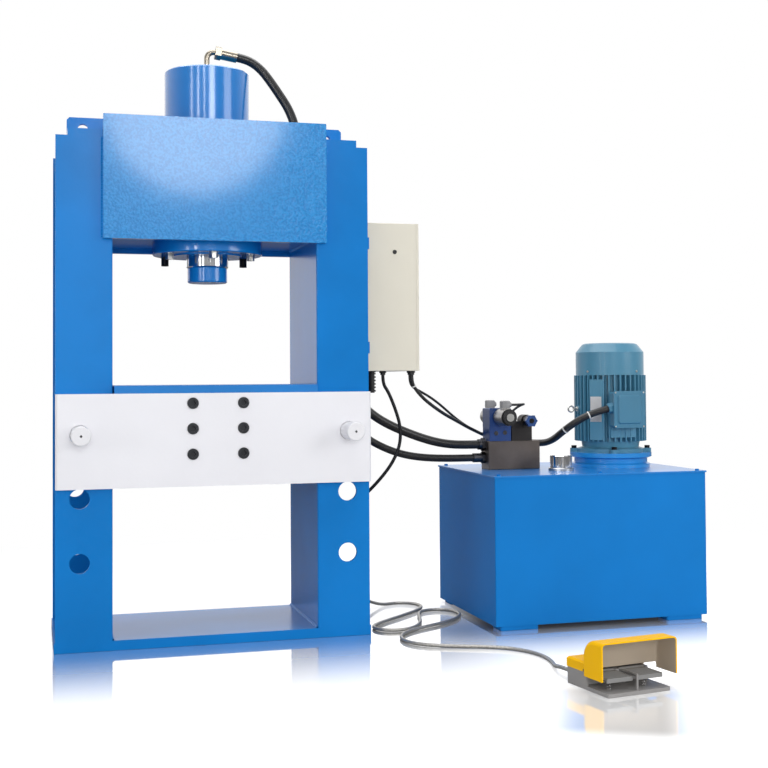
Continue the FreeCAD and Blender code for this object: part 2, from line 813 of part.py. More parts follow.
# ---- valve stack ----
def manifold_block():
    """Drilled steel block bolted on the lid, with hex adaptors for both hoses."""
    block = box(block_left, block_right, block_front, block_front + block_deep, tank_top, block_top)
    block = chamfered(block, 1.5, lambda e: True)
    for route, diameter in ((top_hose, hose_top_diameter), (rod_hose, hose_rod_diameter)):
        end = V(*route[-1])
        block = block.cut(cylinder(diameter / 2 - 5, V(block_left - 1, end.y, end.z), X_AXIS, 26))
    return keep("manifold_block", block)


def valve_stack():
    """Sandwich plate and four-way valve body, one on the other on the block."""
    y0 = block_front + valve_set
    y1 = block_front + block_deep - valve_set
    x0 = valve_left
    x1 = valve_left + valve_width
    plate = box(x0, x1, y0, y1, block_top, sandwich_top)
    plate = chamfered(plate, 1.5, lambda e: runs_along(e, Z_AXIS))
    keep("sandwich_plate", plate)
    body = box(x0, x1, y0, y1, sandwich_top, valve_top)
    body = chamfered(body, 3, lambda e: runs_along(e, Y_AXIS) and e.Vertexes[0].Z > sandwich_top + 1)
    for x in (x0 + 12, x1 - 12):
        for y in (y0 + 12, y1 - 12):
            body = body.cut(cylinder(5.5, V(x, y, valve_top - 9), Z_AXIS, 10))
    return keep("valve_body", body)


def coil_axis():
    return V(valve_left + valve_width / 2, block_front + valve_set, sandwich_top + coil_rise)


def solenoids():
    """A round coil with its tube nut and end cap at each end of the valve body."""
    solids = []
    front = coil_axis()
    back = front.add(V(0, block_deep - 2 * valve_set, 0))
    for start, facing, length in ((front, -1, coil_front_length), (back, 1, coil_rear_length)):
        axis = V(0, facing, 0)
        coil = cylinder(coil_radius, start.add(axis.multiply(8)), V(0, facing, 0), length - 22)
        collar = cylinder(coil_radius - 6, start, V(0, facing, 0), 9)
        nut = cylinder(coil_radius - 5, start.add(V(0, facing * (length - 15), 0)), V(0, facing, 0), 10)
        tip = cylinder(coil_radius - 16, start.add(V(0, facing * (length - 6), 0)), V(0, facing, 0), 6)
        coil = coil.fuse(collar).fuse(nut).fuse(tip)
        foot_y = start.y + facing * (length / 2 - 4)
        seat = box(start.x - 14, start.x + 14, foot_y - 14, foot_y + 14, start.z, start.z + coil_radius + 3)
        solids.append(coil.fuse(seat).removeSplitter())
    return keep("solenoids", group(solids))


def coil_plugs():
    """Square plug-in connectors with a side gland on top of the two coils."""
    solids = []
    front = coil_axis()
    back = front.add(V(0, block_deep - 2 * valve_set, 0))
    low = front.z + coil_radius + 3
    for start, facing, length in ((front, -1, coil_front_length), (back, 1, coil_rear_length)):
        y = start.y + facing * (length / 2 - 4)
        plug = box(start.x - 15, start.x + 15, y - 14, y + 14, low, low + 27)
        plug = chamfered(plug, 3, lambda e: e.Vertexes[0].Z > low + 1 and e.Vertexes[-1].Z > low + 1)
        boss = cylinder(9, V(start.x + 14, y, low + 12), X_AXIS, 9)
        solids.append(plug.fuse(boss).removeSplitter())
    return keep("coil_plugs", group(solids))


def relief():
    """Relief valve on the block beside the four-way valve, with its star handle."""
    x0 = relief_left
    x1 = relief_left + relief_width
    y0 = block_front + 5
    y1 = block_front + block_deep - 20
    base = box(x0, x1, y0, y1, block_top, block_top + relief_base)
    upper = box(x0, x1, y0, y1 - 20, block_top + relief_base, block_top + relief_base + relief_height)
    axis_x = x0 + relief_axis_shift
    axis_z = block_top + relief_base + relief_height + 2
    upper = upper.fuse(cylinder(cartridge_radius + 4, V(axis_x, y0 + 4, axis_z), Y_AXIS, 40))
    barrel = cylinder(cartridge_radius, V(axis_x, y0 - 24, axis_z), Y_AXIS, 30)
    stem = cylinder(5, V(axis_x, y0 - 34, axis_z), Y_AXIS, 12)
    body = base.fuse(upper).fuse(barrel).fuse(stem)
    keep("relief_valve", body.removeSplitter())
    knob_y = y0 - 34 - knob_depth + 6
    knob = cylinder(knob_radius - 3, V(axis_x, knob_y, axis_z), Y_AXIS, knob_depth)
    for i in range(knob_lobes):
        angle = 2 * math.pi * i / knob_lobes
        lobe = V(axis_x + (knob_radius - 5) * math.cos(angle), knob_y,
                 axis_z + (knob_radius - 5) * math.sin(angle))
        knob = knob.fuse(cylinder(5, lobe, Y_AXIS, knob_depth - 4))
    knob = knob.removeSplitter()
    knob = knob.cut(cylinder(5 + running_clearance, V(axis_x, knob_y + knob_depth - 6.5, axis_z), Y_AXIS, 8))
    keep("relief_knob", knob)


# ---- motor and pump ----
motor_centre = V(motor_x, motor_y, 0)


def motor_ring():
    """Cast bell housing between lid and motor, waisted under its top flange."""
    r = ring_radius
    inner = r - ring_wall
    profile = [(inner, tank_top), (r - 6, tank_top), (r - 6, tank_top + 12), (r - 16, tank_top + 18),
               (r - 16, ring_top - 22), (r, ring_top - 16), (r, ring_top), (inner - 20, ring_top),
               (inner - 20, ring_top - 12), (inner, ring_top - 12)]
    solid = revolved(profile, motor_centre)
    for start in motor_bolt_places(ring_top - 15):
        solid = solid.cut(cylinder(ear_bolt / 2, start, Z_AXIS, 16))
    return keep("motor_ring", solid)


def motor_bolt_places(height):
    places = []
    for i in range(4):
        a = math.radians(ear_angle + 90 * i)
        places.append(V(motor_x + ear_circle * math.cos(a), motor_y + ear_circle * math.sin(a), height))
    return places


def motor_body():
    """Finned stator housing with its flange, terminal pad, plate pad and eye boss."""
    shaft = shaft_radius + running_clearance
    inside = rotor_radius + rotor_air_gap
    roof = body_top + 8
    flange_top = ring_top + flange_height
    profile = [(shaft, ring_top), (flange_radius, ring_top), (flange_radius, flange_top),
               (core_radius - 4, flange_top + 6), (core_radius, shield_top), (core_radius, body_top),
               (fan_cover_radius - 14, body_top), (fan_cover_radius - 14, roof), (shaft, roof),
               (shaft, body_top - 16), (inside, body_top - 16), (inside, ring_top + 30),
               (shaft, ring_top + 30)]
    solid = revolved(profile, motor_centre)
    solid = solid.fuse(flange_ears())
    for start in motor_bolt_places(ring_top - 1):
        solid = solid.cut(cylinder(ear_bolt / 2 + bolt_play, start, Z_AXIS, flange_height + 2))
    solid = solid.fuse(cooling_fins() + motor_pads())
    x_reach = box_width / 2 + 6
    pad_x = motor_x + box_shift
    clear = box(pad_x - x_reach, pad_x + x_reach, motor_y - fin_radius - 10, pad_face(),
                box_low - 6, box_low + box_height + 6)
    solid = solid.cut(clear)
    eye_start = V(motor_x - fin_radius - 1, motor_y, eye_height())
    solid = solid.cut(cylinder(5, eye_start, X_AXIS, 25))
    return keep("motor_body", solid.removeSplitter())


def flange_ears():
    """Four bolt ears that stand out from the motor's foot flange."""
    ears = []
    for i in range(4):
        ear = cylinder(ear_radius, V(motor_x + ear_circle, motor_y, ring_top), Z_AXIS, flange_height)
        web = box(motor_x + core_radius - 20, motor_x + ear_circle, motor_y - ear_radius,
                  motor_y + ear_radius, ring_top, ring_top + flange_height)
        ear = ear.fuse(web)
        ear.rotate(motor_centre, Z_AXIS, ear_angle + 90 * i)
        ears.append(ear)
    return ears


def pad_face():
    return motor_y - core_radius - 22


def eye_height():
    return shield_top + eye_rise


def cooling_fins():
    fins = []
    for i in range(fin_count):
        fin = box(motor_x + core_radius - 3, motor_x + fin_radius, motor_y - fin_width / 2,
                  motor_y + fin_width / 2, shield_top, body_top)
        fin.rotate(motor_centre, Z_AXIS, 360.0 * i / fin_count)
        fins.append(fin)
    return fins


def motor_pads():
    pad_x = motor_x + box_shift
    terminal = box(pad_x - box_width / 2 + 8, pad_x + box_width / 2 - 8, pad_face(),
                   motor_y - core_radius + 12, box_low - 40, box_low + box_height - 12)
    plate = box(-26, 26, -fin_radius - 1, -core_radius + 4, shield_top + 6, body_top - 16)
    plate.rotate(V(0, 0, 0), Z_AXIS, -48)
    plate.translate(motor_centre)
    boss = cylinder(13, V(motor_x - fin_radius, motor_y, eye_height()), X_AXIS, fin_radius - core_radius + 3)
    return [terminal, plate, boss]


def motor_cowl():
    """Pressed fan cover with bevelled shoulders and a round air grille on top."""
    r = fan_cover_radius
    t = fan_cover_wall
    top = body_top + fan_cover_height
    shoulder = 34
    outer = [(0, body_top + 0.3), (r, body_top + 0.3), (r, top - shoulder), (r - 24, top - 4), (r - 34, top),
             (0, top)]
    inner = [(0, body_top - 1), (r - t, body_top - 1), (r - t, top - shoulder - 1), (r - 24 - t, top - 4 - t),
             (0, top - t)]
    solid = revolved(outer, motor_centre).cut(revolved(inner, motor_centre))
    for ring_index in range(3):
        reach = 32 + 24 * ring_index
        count = 5 + 4 * ring_index
        for i in range(count):
            angle = 2 * math.pi * i / count
            place = V(motor_x + reach * math.cos(angle), motor_y + reach * math.sin(angle), top - t - 1)
            solid = solid.cut(cylinder(7, place, Z_AXIS, t + 2))
    return keep("motor_cowl", solid)


def motor_rotor():
    """Rotor core on its shaft, down through the bell housing into the coupling."""
    low = tank_top - 20
    shaft = cylinder(shaft_radius, V(motor_x, motor_y, low), Z_AXIS, body_top + 60 - low)
    core = cylinder(rotor_radius, V(motor_x, motor_y, shield_top + 20), Z_AXIS, body_height - 60)
    return keep("motor_rotor", shaft.fuse(core).removeSplitter())


def motor_fan():
    """Radial fan on the shaft's upper end."""
    hub_low = body_top + 18
    hub = ring(34, shaft_radius + 0.02, V(motor_x, motor_y, hub_low), Z_AXIS, 34)
    disc = ring(fan_radius, 30, V(motor_x, motor_y, hub_low), Z_AXIS, 4)
    solid = hub.fuse(disc)
    for i in range(fan_blades):
        blade = box(motor_x + 30, motor_x + fan_radius - 2, motor_y - 2, motor_y + 2, hub_low + 2,
                    hub_low + 40)
        blade.rotate(motor_centre, Z_AXIS, 360.0 * i / fan_blades)
        solid = solid.fuse(blade)
    return keep("motor_fan", solid.removeSplitter())


def terminal_box():
    """Cast box on the terminal pad, with its raised cover and lead entry."""
    x0 = motor_x + box_shift - box_width / 2
    x1 = x0 + box_width
    y1 = pad_face()
    y0 = y1 - box_deep
    z0 = box_low
    z1 = box_low + box_height
    body = box(x0, x1, y0 + 16, y1, z0, z1)
    body = rounded(body, 8, lambda e: runs_along(e, Y_AXIS))
    cover = box(x0 - 3, x1 + 3, y0 + 6, y0 + 16, z0 - 3, z1 + 3)
    cover = rounded(cover, 9, lambda e: runs_along(e, Y_AXIS))
    raised = box(x0 + 12, x1 - 12, y0, y0 + 8, z0 + 12, z1 - 12)
    raised = rounded(raised, 10, lambda e: runs_along(e, Y_AXIS))
    raised = chamfered(raised, 4, lambda e: abs(e.Vertexes[0].Y - y0) < 0.01 and
                       abs(e.Vertexes[-1].Y - y0) < 0.01)
    end = V(*conduit_route[-1])
    arrival = V(end.sub(V(*conduit_route[-2]))).normalize()
    gland = hexagon(conduit_diameter + 8, end, arrival, x0 - end.x + 8)
    return keep("terminal_box", body.fuse(cover).fuse(raised).fuse(gland).removeSplitter())


def motor_fasteners():
    """Flange bolts of the motor and the lifting eye on its side."""
    solids = []
    for start in motor_bolt_places(ring_top - 14):
        bolt = cylinder(ear_bolt / 2, start, Z_AXIS, 14 + flange_height)
        head = hexagon(19, V(start.x, start.y, ring_top + flange_height), Z_AXIS, 10)
        solids.append(bolt.fuse(head).removeSplitter())
    eye_z = eye_height()
    eye_x = motor_x - fin_radius
    stem = cylinder(5, V(eye_x + 23, motor_y, eye_z), V(-1, 0, 0), 23 + eye_reach - eye_ring)
    eye = Part.makeTorus(eye_ring, eye_wire, V(eye_x - eye_reach, motor_y, eye_z), Y_AXIS)
    collar = cylinder(9, V(eye_x, motor_y, eye_z), V(-1, 0, 0), 4)
    solids.append(stem.fuse(eye).fuse(collar).removeSplitter())
    return keep("motor_fasteners", group(solids))


def pump():
    """Gear pump hung under the lid on the bell housing's pilot, with suction strainer."""
    top = lid_under - 6
    low = top - 150
    spider = ring(ring_radius - ring_wall + 22, 62, V(motor_x, motor_y, top), Z_AXIS, 6)
    legs = []
    for angle in (45, 135, 225, 315):
        a = math.radians(angle)
        place = V(motor_x + 66 * math.cos(a), motor_y + 66 * math.sin(a), top - 40)
        legs.append(cylinder(8, place, Z_AXIS, 42))
    plate = cylinder(78, V(motor_x, motor_y, top - 52), Z_AXIS, 13)
    body = box(motor_x - 45, motor_x + 45, motor_y - 58, motor_y + 58, low, top - 51)
    stub = cylinder(12, V(motor_x, motor_y, top - 40), Z_AXIS, 18)
    suction = cylinder(17, V(motor_x - 44, motor_y, low + 40), V(-1, 0, 0), 30)
    drop = cylinder(17, V(motor_x - 90, motor_y, 120), Z_AXIS, low + 57 - 120)
    strainer = cylinder(42, V(motor_x - 90, motor_y, 70), Z_AXIS, 110)
    elbow = box(motor_x - 107, motor_x - 73, motor_y - 17, motor_y + 17, low + 23, low + 57)
    parts = legs + [plate, body, suction, drop, strainer, elbow, stub]
    solid = spider.fuse(parts)
    return keep("pump", solid.removeSplitter())


def pump_coupling():
    """Sleeve coupling: the motor shaft in its upper bore, the pump stub in its lower one."""
    shaft_end = tank_top - 20
    profile = [(12 + running_clearance, shaft_end - 26), (38, shaft_end - 26), (38, shaft_end + 30),
               (shaft_radius + 0.02, shaft_end + 30), (shaft_radius + 0.02, shaft_end),
               (12 + running_clearance, shaft_end)]
    return keep("pump_coupling", revolved(profile, motor_centre))


# ---- hose and lead routes, chosen by hand: straight out, down, then along what carries them ----
top_hose = [(105, 0, 2005), (134.6, 0, 2000.2), (165.6, -2, 1986.2), (194.6, -6, 1961.6), (219.7, -12, 1928),
            (250, -24, 1880), (283, -38, 1824), (304, -49, 1762), (312, -55, 1694), (315, -58, 1626),
            (328, -55, 1548), (356, -50, 1476), (392, -44, 1396), (420, -38, 1305), (440, -33, 1210),
            (454, -29, 1115), (463, -26, 1020), (474, -24, 930), (496, -20, 856), (534, -14, 792),
            (584, -6, 744), (642, 4, 708), (712, 13, 677), (788, 20, 649), (850, 23, 632), (905, 25, 624),
            (955, 25, 622), (1005, 25, 622)]
rod_hose = [(235, port_side, port_height), (297, port_side, port_height), (362, 41, 1462), (415, 42, 1427),
            (448, 43, 1372), (464, 44, 1300), (471, 46, 1215), (475, 47, 1120), (477, 46, 1020),
            (480, 44, 925), (486, 41, 836), (500, 38, 760), (530, 35, 698), (580, 31, 652), (642, 28, 617),
            (714, 26, 591), (785, 25, 579), (853, 25, 574.5), (919, 25, 573), (985, 25, 573)]
power_lead = [(700, -141, 881), (700, -141, 854), (716.5, -137, 827.5), (749.3, -126, 795.2),
              (792.1, -108, 766), (843.8, -76, 737.8), (899.8, -34, 714.1), (958.8, 14, 688.5),
              (1016.4, 60, 666.6), (1068, 98, 647.2), (1098, 122, 632), (1124, 130, 625), (1150, 130, 625)]
valve_lead = [(700, -114, 881), (700, -114, 857), (712.6, -110, 836.9), (745.2, -98, 821.6),
              (786.3, -80, 801.4), (831.7, -56, 773.6), (877.7, -26, 741.5), (925.2, 12, 712.4),
              (974.9, 54, 687.6), (1027.4, 96, 665.8), (1066, 130, 655), (1110, 149, 668), (1145, 140, 700),
              (1166, 104, 735), (1174, 52, 759), (1176, -4, 770), (1162, -43, 770.5), (1135, -65, 769.5),
              (1101.5, -65, 769.5)]
conduit_route = [(1150, 130, 625), (1186, 130, 625), (1220, 119, 623), (1249, 98, 620.5), (1270, 69, 620),
                 (1284, 34, 624), (1293, -12, 638), (1300, -60, 661), (box_left - 150, -100, 691),
                 (box_left - 113, -125, 719), (box_left - 68, -136, 740), (box_left - 17, -136, 751)]
pedal_lead = [(600, -120, 881), (600, -120, 850), (619.3, -120, 822.9), (643.8, -120, 764.6),
              (663.6, -120, 700.9), (662.3, -119, 633.9), (633.9, -118, 571.2), (589.5, -112, 514),
              (538.3, -98, 460.1), (491, -76, 408.8), (456.8, -44, 348.7), (442.3, -4, 281),
              (449.6, 44, 213.9), (482, 96, 150.9), (534, 148, 98.5), (590, 193, 57), (644, 232, 25),
              (702, 270, 6.1), (753, 291, 6.1), (801, 279, 6.1), (832, 240, 6.1), (834, 190, 6.1),
              (806, 135, 6.1), (757, 80, 6.1), (700, 24, 6.1), (630, -41, 6.1), (568, -106, 6.1),
              (550, -155, 6.1), (569, -200, 6.1), (613, -221, 6.1), (659, -210, 6.1), (699, -174.7, 6.1),
              (732, -117.5, 6.1), (755.4, -41, 6.1), (774, 40, 6.1), (794.3, 87, 6.1), (833.3, 112, 6.1),
              (880, 108, 6.1), (914.4, 76, 6.1), (925.5, 28, 6.1), (911, -28, 6.1), (871.2, -89.1, 6.1),
              (806, -142, 6.1), (728, -189, 6.1), (655, -239, 6.1), (608, -299, 6.1), (590, -370, 6.1),
              (606, -439, 6.1), (658, -490, 6.1), (730, -527, 6.1), (806, -557, 6.1), (871, -595, 6.1),
              (914, -652, 6.1), (935, -714, 6.1), (938, -774, 6.1), (930, -832, 6.1), (912, -886, 10),
              (897, -935, 20), (893.3, -980.5, 27), (900.4, -1025, 27)]


def top_elbow():
    """Bent steel pipe from the port on the barrel's end to the hose nut."""
    foot = V(0, 0, barrel_top)
    hose_start = V(*top_hose[0])
    lead = V(V(*top_hose[1]).sub(hose_start)).normalize()
    end = hose_start.sub(V(lead).multiply(top_sleeve + top_nut))
    bend = 30.0
    rise_x = foot.x
    corner_z = end.z - (end.x - rise_x) * lead.z / lead.x
    points = [V(rise_x, 0, barrel_top + 18), V(rise_x, 0, corner_z), end]
    path, radii = elbow_path(points, bend)
    section = Part.Wire(Part.Circle(points[0], Z_AXIS, 9.5).toShape())
    pipe = path.makePipeShell([section], True, False)
    boss = hexagon(46, foot, Z_AXIS, 18)
    return keep("top_elbow", pipe.fuse(boss).removeSplitter())


def elbow_path(points, radius):
    before = V(points[1].sub(points[0])).normalize()
    after = V(points[2].sub(points[1])).normalize()
    turn = before.getAngle(after)
    reach = min(radius * math.tan(turn / 2), points[2].sub(points[1]).Length * 0.95)
    radius = reach / math.tan(turn / 2)
    arc_start = points[1].sub(V(before).multiply(reach))
    arc_end = points[1].add(V(after).multiply(reach))
    bisector = V(after).sub(before).normalize()
    centre = points[1].add(V(bisector).multiply(math.hypot(radius, reach)))
    middle = centre.sub(V(bisector).multiply(radius))
    edges = [Part.LineSegment(points[0], arc_start).toShape(), Part.Arc(arc_start, middle, arc_end).toShape()]
    if points[2].sub(arc_end).Length > 0.01:
        edges.append(Part.LineSegment(arc_end, points[2]).toShape())
    return Part.Wire(edges), radius


def hose_ends(pieces):
    """Crimped sleeve and hex nut at each end of a hose."""
    solids = []
    for start, axis, sleeve_length, nut_length, diameter in pieces:
        sleeve = cylinder(diameter / 2 + sleeve_wall, start, axis, sleeve_length)
        nut_start = start.add(V(axis).multiply(sleeve_length))
        nut = hexagon(diameter + 10, nut_start, axis, nut_length)
        solids.append(sleeve.fuse(nut).removeSplitter())
    return keep("hose_ends", group(solids))


def hoses_and_leads():
    tube("top_hose", top_hose, hose_top_diameter)
    tube("rod_hose", rod_hose, hose_rod_diameter)
    tube("power_lead", power_lead, lead_power_diameter)
    tube("valve_lead", valve_lead, lead_valve_diameter)
    tube("motor_conduit", conduit_route, conduit_diameter)
    tube("pedal_lead", pedal_lead, lead_pedal_diameter)
    elbow_end = V(*top_hose[0])
    back = elbow_end.sub(V(*top_hose[1])).normalize()
    top_end = V(*top_hose[-1])
    rod_start = V(*rod_hose[0])
    rod_end = V(*rod_hose[-1])
    port_face = barrel_outer / 2 - 1.5
    hose_ends([(elbow_end, back, top_sleeve, top_nut, hose_top_diameter),
               (top_end, X_AXIS, block_left - top_end.x - block_nut, block_nut, hose_top_diameter),
               (rod_start, V(-1, 0, 0), rod_start.x - port_face - 26, 26, hose_rod_diameter),
               (rod_end, X_AXIS, block_left - rod_end.x - block_nut, block_nut, hose_rod_diameter)])


# ---- foot switch ----
def placed_pedal(shape):
    shape.rotate(V(0, 0, 0), Z_AXIS, pedal_turn)
    shape.translate(V(pedal_x, pedal_y, 0))
    return shape


def pedal_base():
    """Cast sole with the raised switch block at its rear, pivot ears and the lead gland."""
    sole = box(0, pedal_width, 0, pedal_deep, 0, pedal_sole)
    sole = rounded(sole, 6, lambda e: runs_along(e, Z_AXIS))
    block = box(0, pedal_width, pedal_block_front, pedal_deep, 0, pedal_block_height)
    block = rounded(block, 6, lambda e: runs_along(e, Z_AXIS) and e.Vertexes[0].Y > pedal_block_front + 1)
    solid = sole.fuse(block)
    for x in (0, treadle_left(1) - treadle_gap + 2, pedal_width - 6):
        width = 6 if x in (0, pedal_width - 6) else treadle_gap - 4
        ear = box(x, x + width, pedal_block_front - 16, pedal_block_front + 1, 0, pivot_height + 5)
        solid = solid.fuse(ear)
    pin = V(-1, pedal_block_front - 8, pivot_height)
    solid = solid.fuse(cylinder(pivot_radius, pin.add(V(2, 0, 0)), X_AXIS, pedal_width - 2))
    gland_low = 27.0
    gland = hexagon(22, V(24, pedal_deep, gland_low), Y_AXIS, 12)
    gland = gland.fuse(cylinder(9.5, V(24, pedal_deep + 10, gland_low), Y_AXIS, 10))
    solid = solid.fuse([gland] + divider_strip())
    return keep("pedal_base", placed_pedal(solid.removeSplitter()))


def divider_strip():
    """Bent strip on the sole, standing between the treadles."""
    x0 = treadle_left(1) - treadle_gap / 2 - divider_thick / 2
    x1 = x0 + divider_thick
    upright = box(x0, x1, 10, 16, pedal_sole - 1, divider_height)
    top = box(x0, x1, 10, 10 + divider_reach, divider_height - divider_thick, divider_height)
    return [upright, top]


def treadle_left(index):
    return 11.0 + index * (treadle_width + treadle_gap)


def pedal_guard():
    """Cast hood over both treadles, open to the front, with a low rear cover."""
    r = guard_round
    t = guard_wall

    def side(front, rear, top, low, radius):
        start = V(0, front, low)
        points = [V(0, front, top), V(0, rear - radius, top)]
        corner = V(0, rear - radius + radius * math.sin(math.pi / 4),
                   top - radius + radius * math.cos(math.pi / 4))
        edges = [Part.LineSegment(start, points[0]).toShape(),
                 Part.LineSegment(points[0], points[1]).toShape(),
                 Part.Arc(points[1], corner, V(0, rear, top - radius)).toShape(),
                 Part.LineSegment(V(0, rear, top - radius), V(0, rear, low)).toShape(),
                 Part.LineSegment(V(0, rear, low), start).toShape()]
        return Part.Face(Part.Wire(edges))

    outer = side(guard_front, guard_rear, guard_top, guard_low, r).extrude(V(guard_right - guard_left, 0, 0))
    outer.translate(V(guard_left, 0, 0))
    is_top = lambda e: (runs_along(e, Y_AXIS) and e.Vertexes[0].Z > guard_top - 0.1)
    outer = rounded(outer, 12, is_top)
    inner = side(guard_front - 1, guard_rear - t, guard_top - t, guard_low - 1, r - t)
    inner = inner.extrude(V(guard_right - guard_left - 2 * t, 0, 0))
    inner.translate(V(guard_left + t, 0, 0))
    inner = rounded(inner, 8, lambda e: (runs_along(e, Y_AXIS) and e.Vertexes[0].Z > guard_top - t - 0.1))
    hood = outer.cut(inner)
    rear = box(0, pedal_width, guard_rear - t, pedal_deep, pedal_block_height, guard_rear_top)
    rear = chamfered(rear, 5, lambda e: e.Vertexes[0].Z > guard_rear_top - 1 and
                     e.Vertexes[-1].Z > guard_rear_top - 1)
    hollow = box(t, pedal_width - t, guard_rear, pedal_deep - t, pedal_block_height - 1, guard_rear_top - t)
    low_back = box(guard_left - 1, guard_right + 1, pedal_block_front - 20, guard_rear + 1, guard_low - 1,
                   pedal_block_height + 1)
    mouth = box(guard_left + t, guard_right - t, guard_rear - t - 20, guard_rear + 6, guard_low - 1,
                pivot_height + 12)
    solid = hood.fuse(rear.cut(hollow)).cut(mouth)
    notch = box(guard_left - 1, guard_right + 1, guard_rear - t - 0.5, guard_rear + 1, guard_low - 1,
                pedal_block_height)
    solid = solid.cut(notch.common(low_back))
    return keep("pedal_guard", placed_pedal(solid.removeSplitter()))


def treadles():
    """Ribbed foot plates on the common pivot pin, each on its own spring."""
    tail = pedal_block_front - 8
    for index, name in enumerate(("left_treadle", "right_treadle")):
        x0 = treadle_left(index)
        plate = box(x0, x0 + treadle_width, treadle_front, tail, treadle_front_height,
                    treadle_front_height + treadle_thick)
        lip = box(x0, x0 + treadle_width, treadle_front, treadle_front + 3, treadle_front_height - 8,
                  treadle_front_height)
        boss = cylinder(7.5, V(x0, tail, pivot_height), X_AXIS, treadle_width)
        plate = plate.fuse(lip).fuse(boss)
        for rib in range(6):
            y = treadle_front + 8 + rib * 11
            bar = box(x0 + 6, x0 + treadle_width - 6, y, y + 4, treadle_front_height + treadle_thick - 1,
                      treadle_front_height + treadle_thick + 1.2)
            plate = plate.fuse(bar)
        plate = plate.cut(cylinder(pivot_radius + running_clearance, V(x0 - 1, tail, pivot_height), X_AXIS,
                                   treadle_width + 2))
        keep(name, placed_pedal(plate.removeSplitter()))


def biarc(start, start_way, end, end_way):
    """Two tangent arcs from one point to the next, with the given directions at both."""
    span = end.sub(start)
    both = start_way.add(end_way)
    spread = 2 * (1 - start_way.dot(end_way))
    along = span.dot(both)
    reach = (math.sqrt(along ** 2 + spread * span.dot(span)) - along) / spread
    join = start.add(end).add(start_way.sub(end_way).multiply(reach)).multiply(0.5)
    arcs = []
    for first, last, way in ((start, join, start_way), (end, join, V(end_way).negative())):
        chord = last.sub(first)
        unit = V(chord).normalize()
        side = way.sub(V(unit).multiply(way.dot(unit))).normalize()
        rise = chord.Length / 2 * math.tan(way.getAngle(chord) / 2)
        middle = first.add(last).multiply(0.5).add(side.multiply(rise))
        ends = (first, last) if first is start else (last, first)
        arcs.append(Part.Arc(ends[0], middle, ends[1]).toShape())
    return arcs


def coil_path(centre, radius, height, turns):
    """A helix laid as tangent arcs, two for each quarter turn."""
    places = []
    for i in range(4 * turns + 1):
        angle = math.pi / 2 * i
        place = V(radius * math.cos(angle), radius * math.sin(angle), height * i / (4.0 * turns))
        way = V(-math.sin(angle), math.cos(angle), height / turns / (2 * math.pi * radius)).normalize()
        places.append((centre.add(place), way))
    edges = []
    for (start, start_way), (end, end_way) in zip(places, places[1:]):
        edges += biarc(start, start_way, end, end_way)
    return Part.Wire(edges)


def treadle_springs():
    """Compression springs between the sole and each treadle, each one bent wire."""
    low = pedal_sole + spring_wire / 2 + 0.3
    high = treadle_front_height - spring_wire / 2 - 0.3
    for index, name in enumerate(("left_spring", "right_spring")):
        centre = V(treadle_left(index) + (16 if index == 0 else 30), treadle_front + 16, low)
        path = coil_path(centre, spring_radius, high - low, spring_turns)
        start = centre.add(V(spring_radius, 0, 0))
        way = V(0, 2 * math.pi * spring_radius, (high - low) / spring_turns)
        section = Part.Wire(Part.Circle(start, way, spring_wire / 2).toShape())
        solid = path.makePipeShell([section], True, True)
        ratio = solid.Volume / (math.pi * spring_wire ** 2 / 4 * path.Length)
        print(name, "least gap between turns", round((high - low) / spring_turns - spring_wire, 2),
              "volume ratio", round(ratio, 4))
        keep(name, placed_pedal(solid))


def build():
    base_plate()
    keep("left_column", column(-1))
    keep("right_column", column(1))
    keep("head_front_plate", head_plate_solid(-half_depth - head_plate))
    keep("head_rear_plate", head_plate_solid(half_depth))
    head_bottom_plate()
    column_tops()
    cylinder_barrel()
    cylinder_gland()
    ram()
    head_bolts()
    bed_plates()
    bed_spacers()
    table_plate()
    bed_screws()
    pins()
    cabinet_body()
    cabinet_door()
    door_hinges()
    door_lock()
    cabinet_rails()
    cable_glands()
    tank_body()
    tank_lid()
    lid_screws()
    filler()
    manifold_block()
    valve_stack()
    solenoids()
    coil_plugs()
    relief()
    motor_ring()
    motor_body()
    motor_cowl()
    motor_rotor()
    motor_fan()
    terminal_box()
    motor_fasteners()
    pump()
    pump_coupling()
    top_elbow()
    hoses_and_leads()
    pedal_base()
    pedal_guard()
    treadles()
    treadle_springs()


build()
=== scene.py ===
import math

import bmesh
import bpy
from mathutils import Matrix, Vector


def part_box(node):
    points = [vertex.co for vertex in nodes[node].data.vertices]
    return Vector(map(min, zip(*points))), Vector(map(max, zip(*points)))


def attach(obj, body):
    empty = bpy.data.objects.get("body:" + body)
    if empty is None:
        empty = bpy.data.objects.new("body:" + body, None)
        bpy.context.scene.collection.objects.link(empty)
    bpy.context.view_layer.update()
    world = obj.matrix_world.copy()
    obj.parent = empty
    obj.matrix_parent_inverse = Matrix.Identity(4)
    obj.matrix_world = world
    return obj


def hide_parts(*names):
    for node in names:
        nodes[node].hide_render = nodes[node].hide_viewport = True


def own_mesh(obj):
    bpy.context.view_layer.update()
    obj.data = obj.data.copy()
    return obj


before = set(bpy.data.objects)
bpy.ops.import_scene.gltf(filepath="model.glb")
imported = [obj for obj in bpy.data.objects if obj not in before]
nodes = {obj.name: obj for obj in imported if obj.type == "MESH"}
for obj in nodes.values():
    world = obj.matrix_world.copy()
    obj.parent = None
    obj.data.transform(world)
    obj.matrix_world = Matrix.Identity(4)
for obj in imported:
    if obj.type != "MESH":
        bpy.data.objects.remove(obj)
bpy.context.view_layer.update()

# ---- Press frame ----
# Folded plate columns on a thick base plate with welded head plates, all sprayed in one blue enamel.
# The coat is satin, a little uneven in depth, with a fine orange peel.


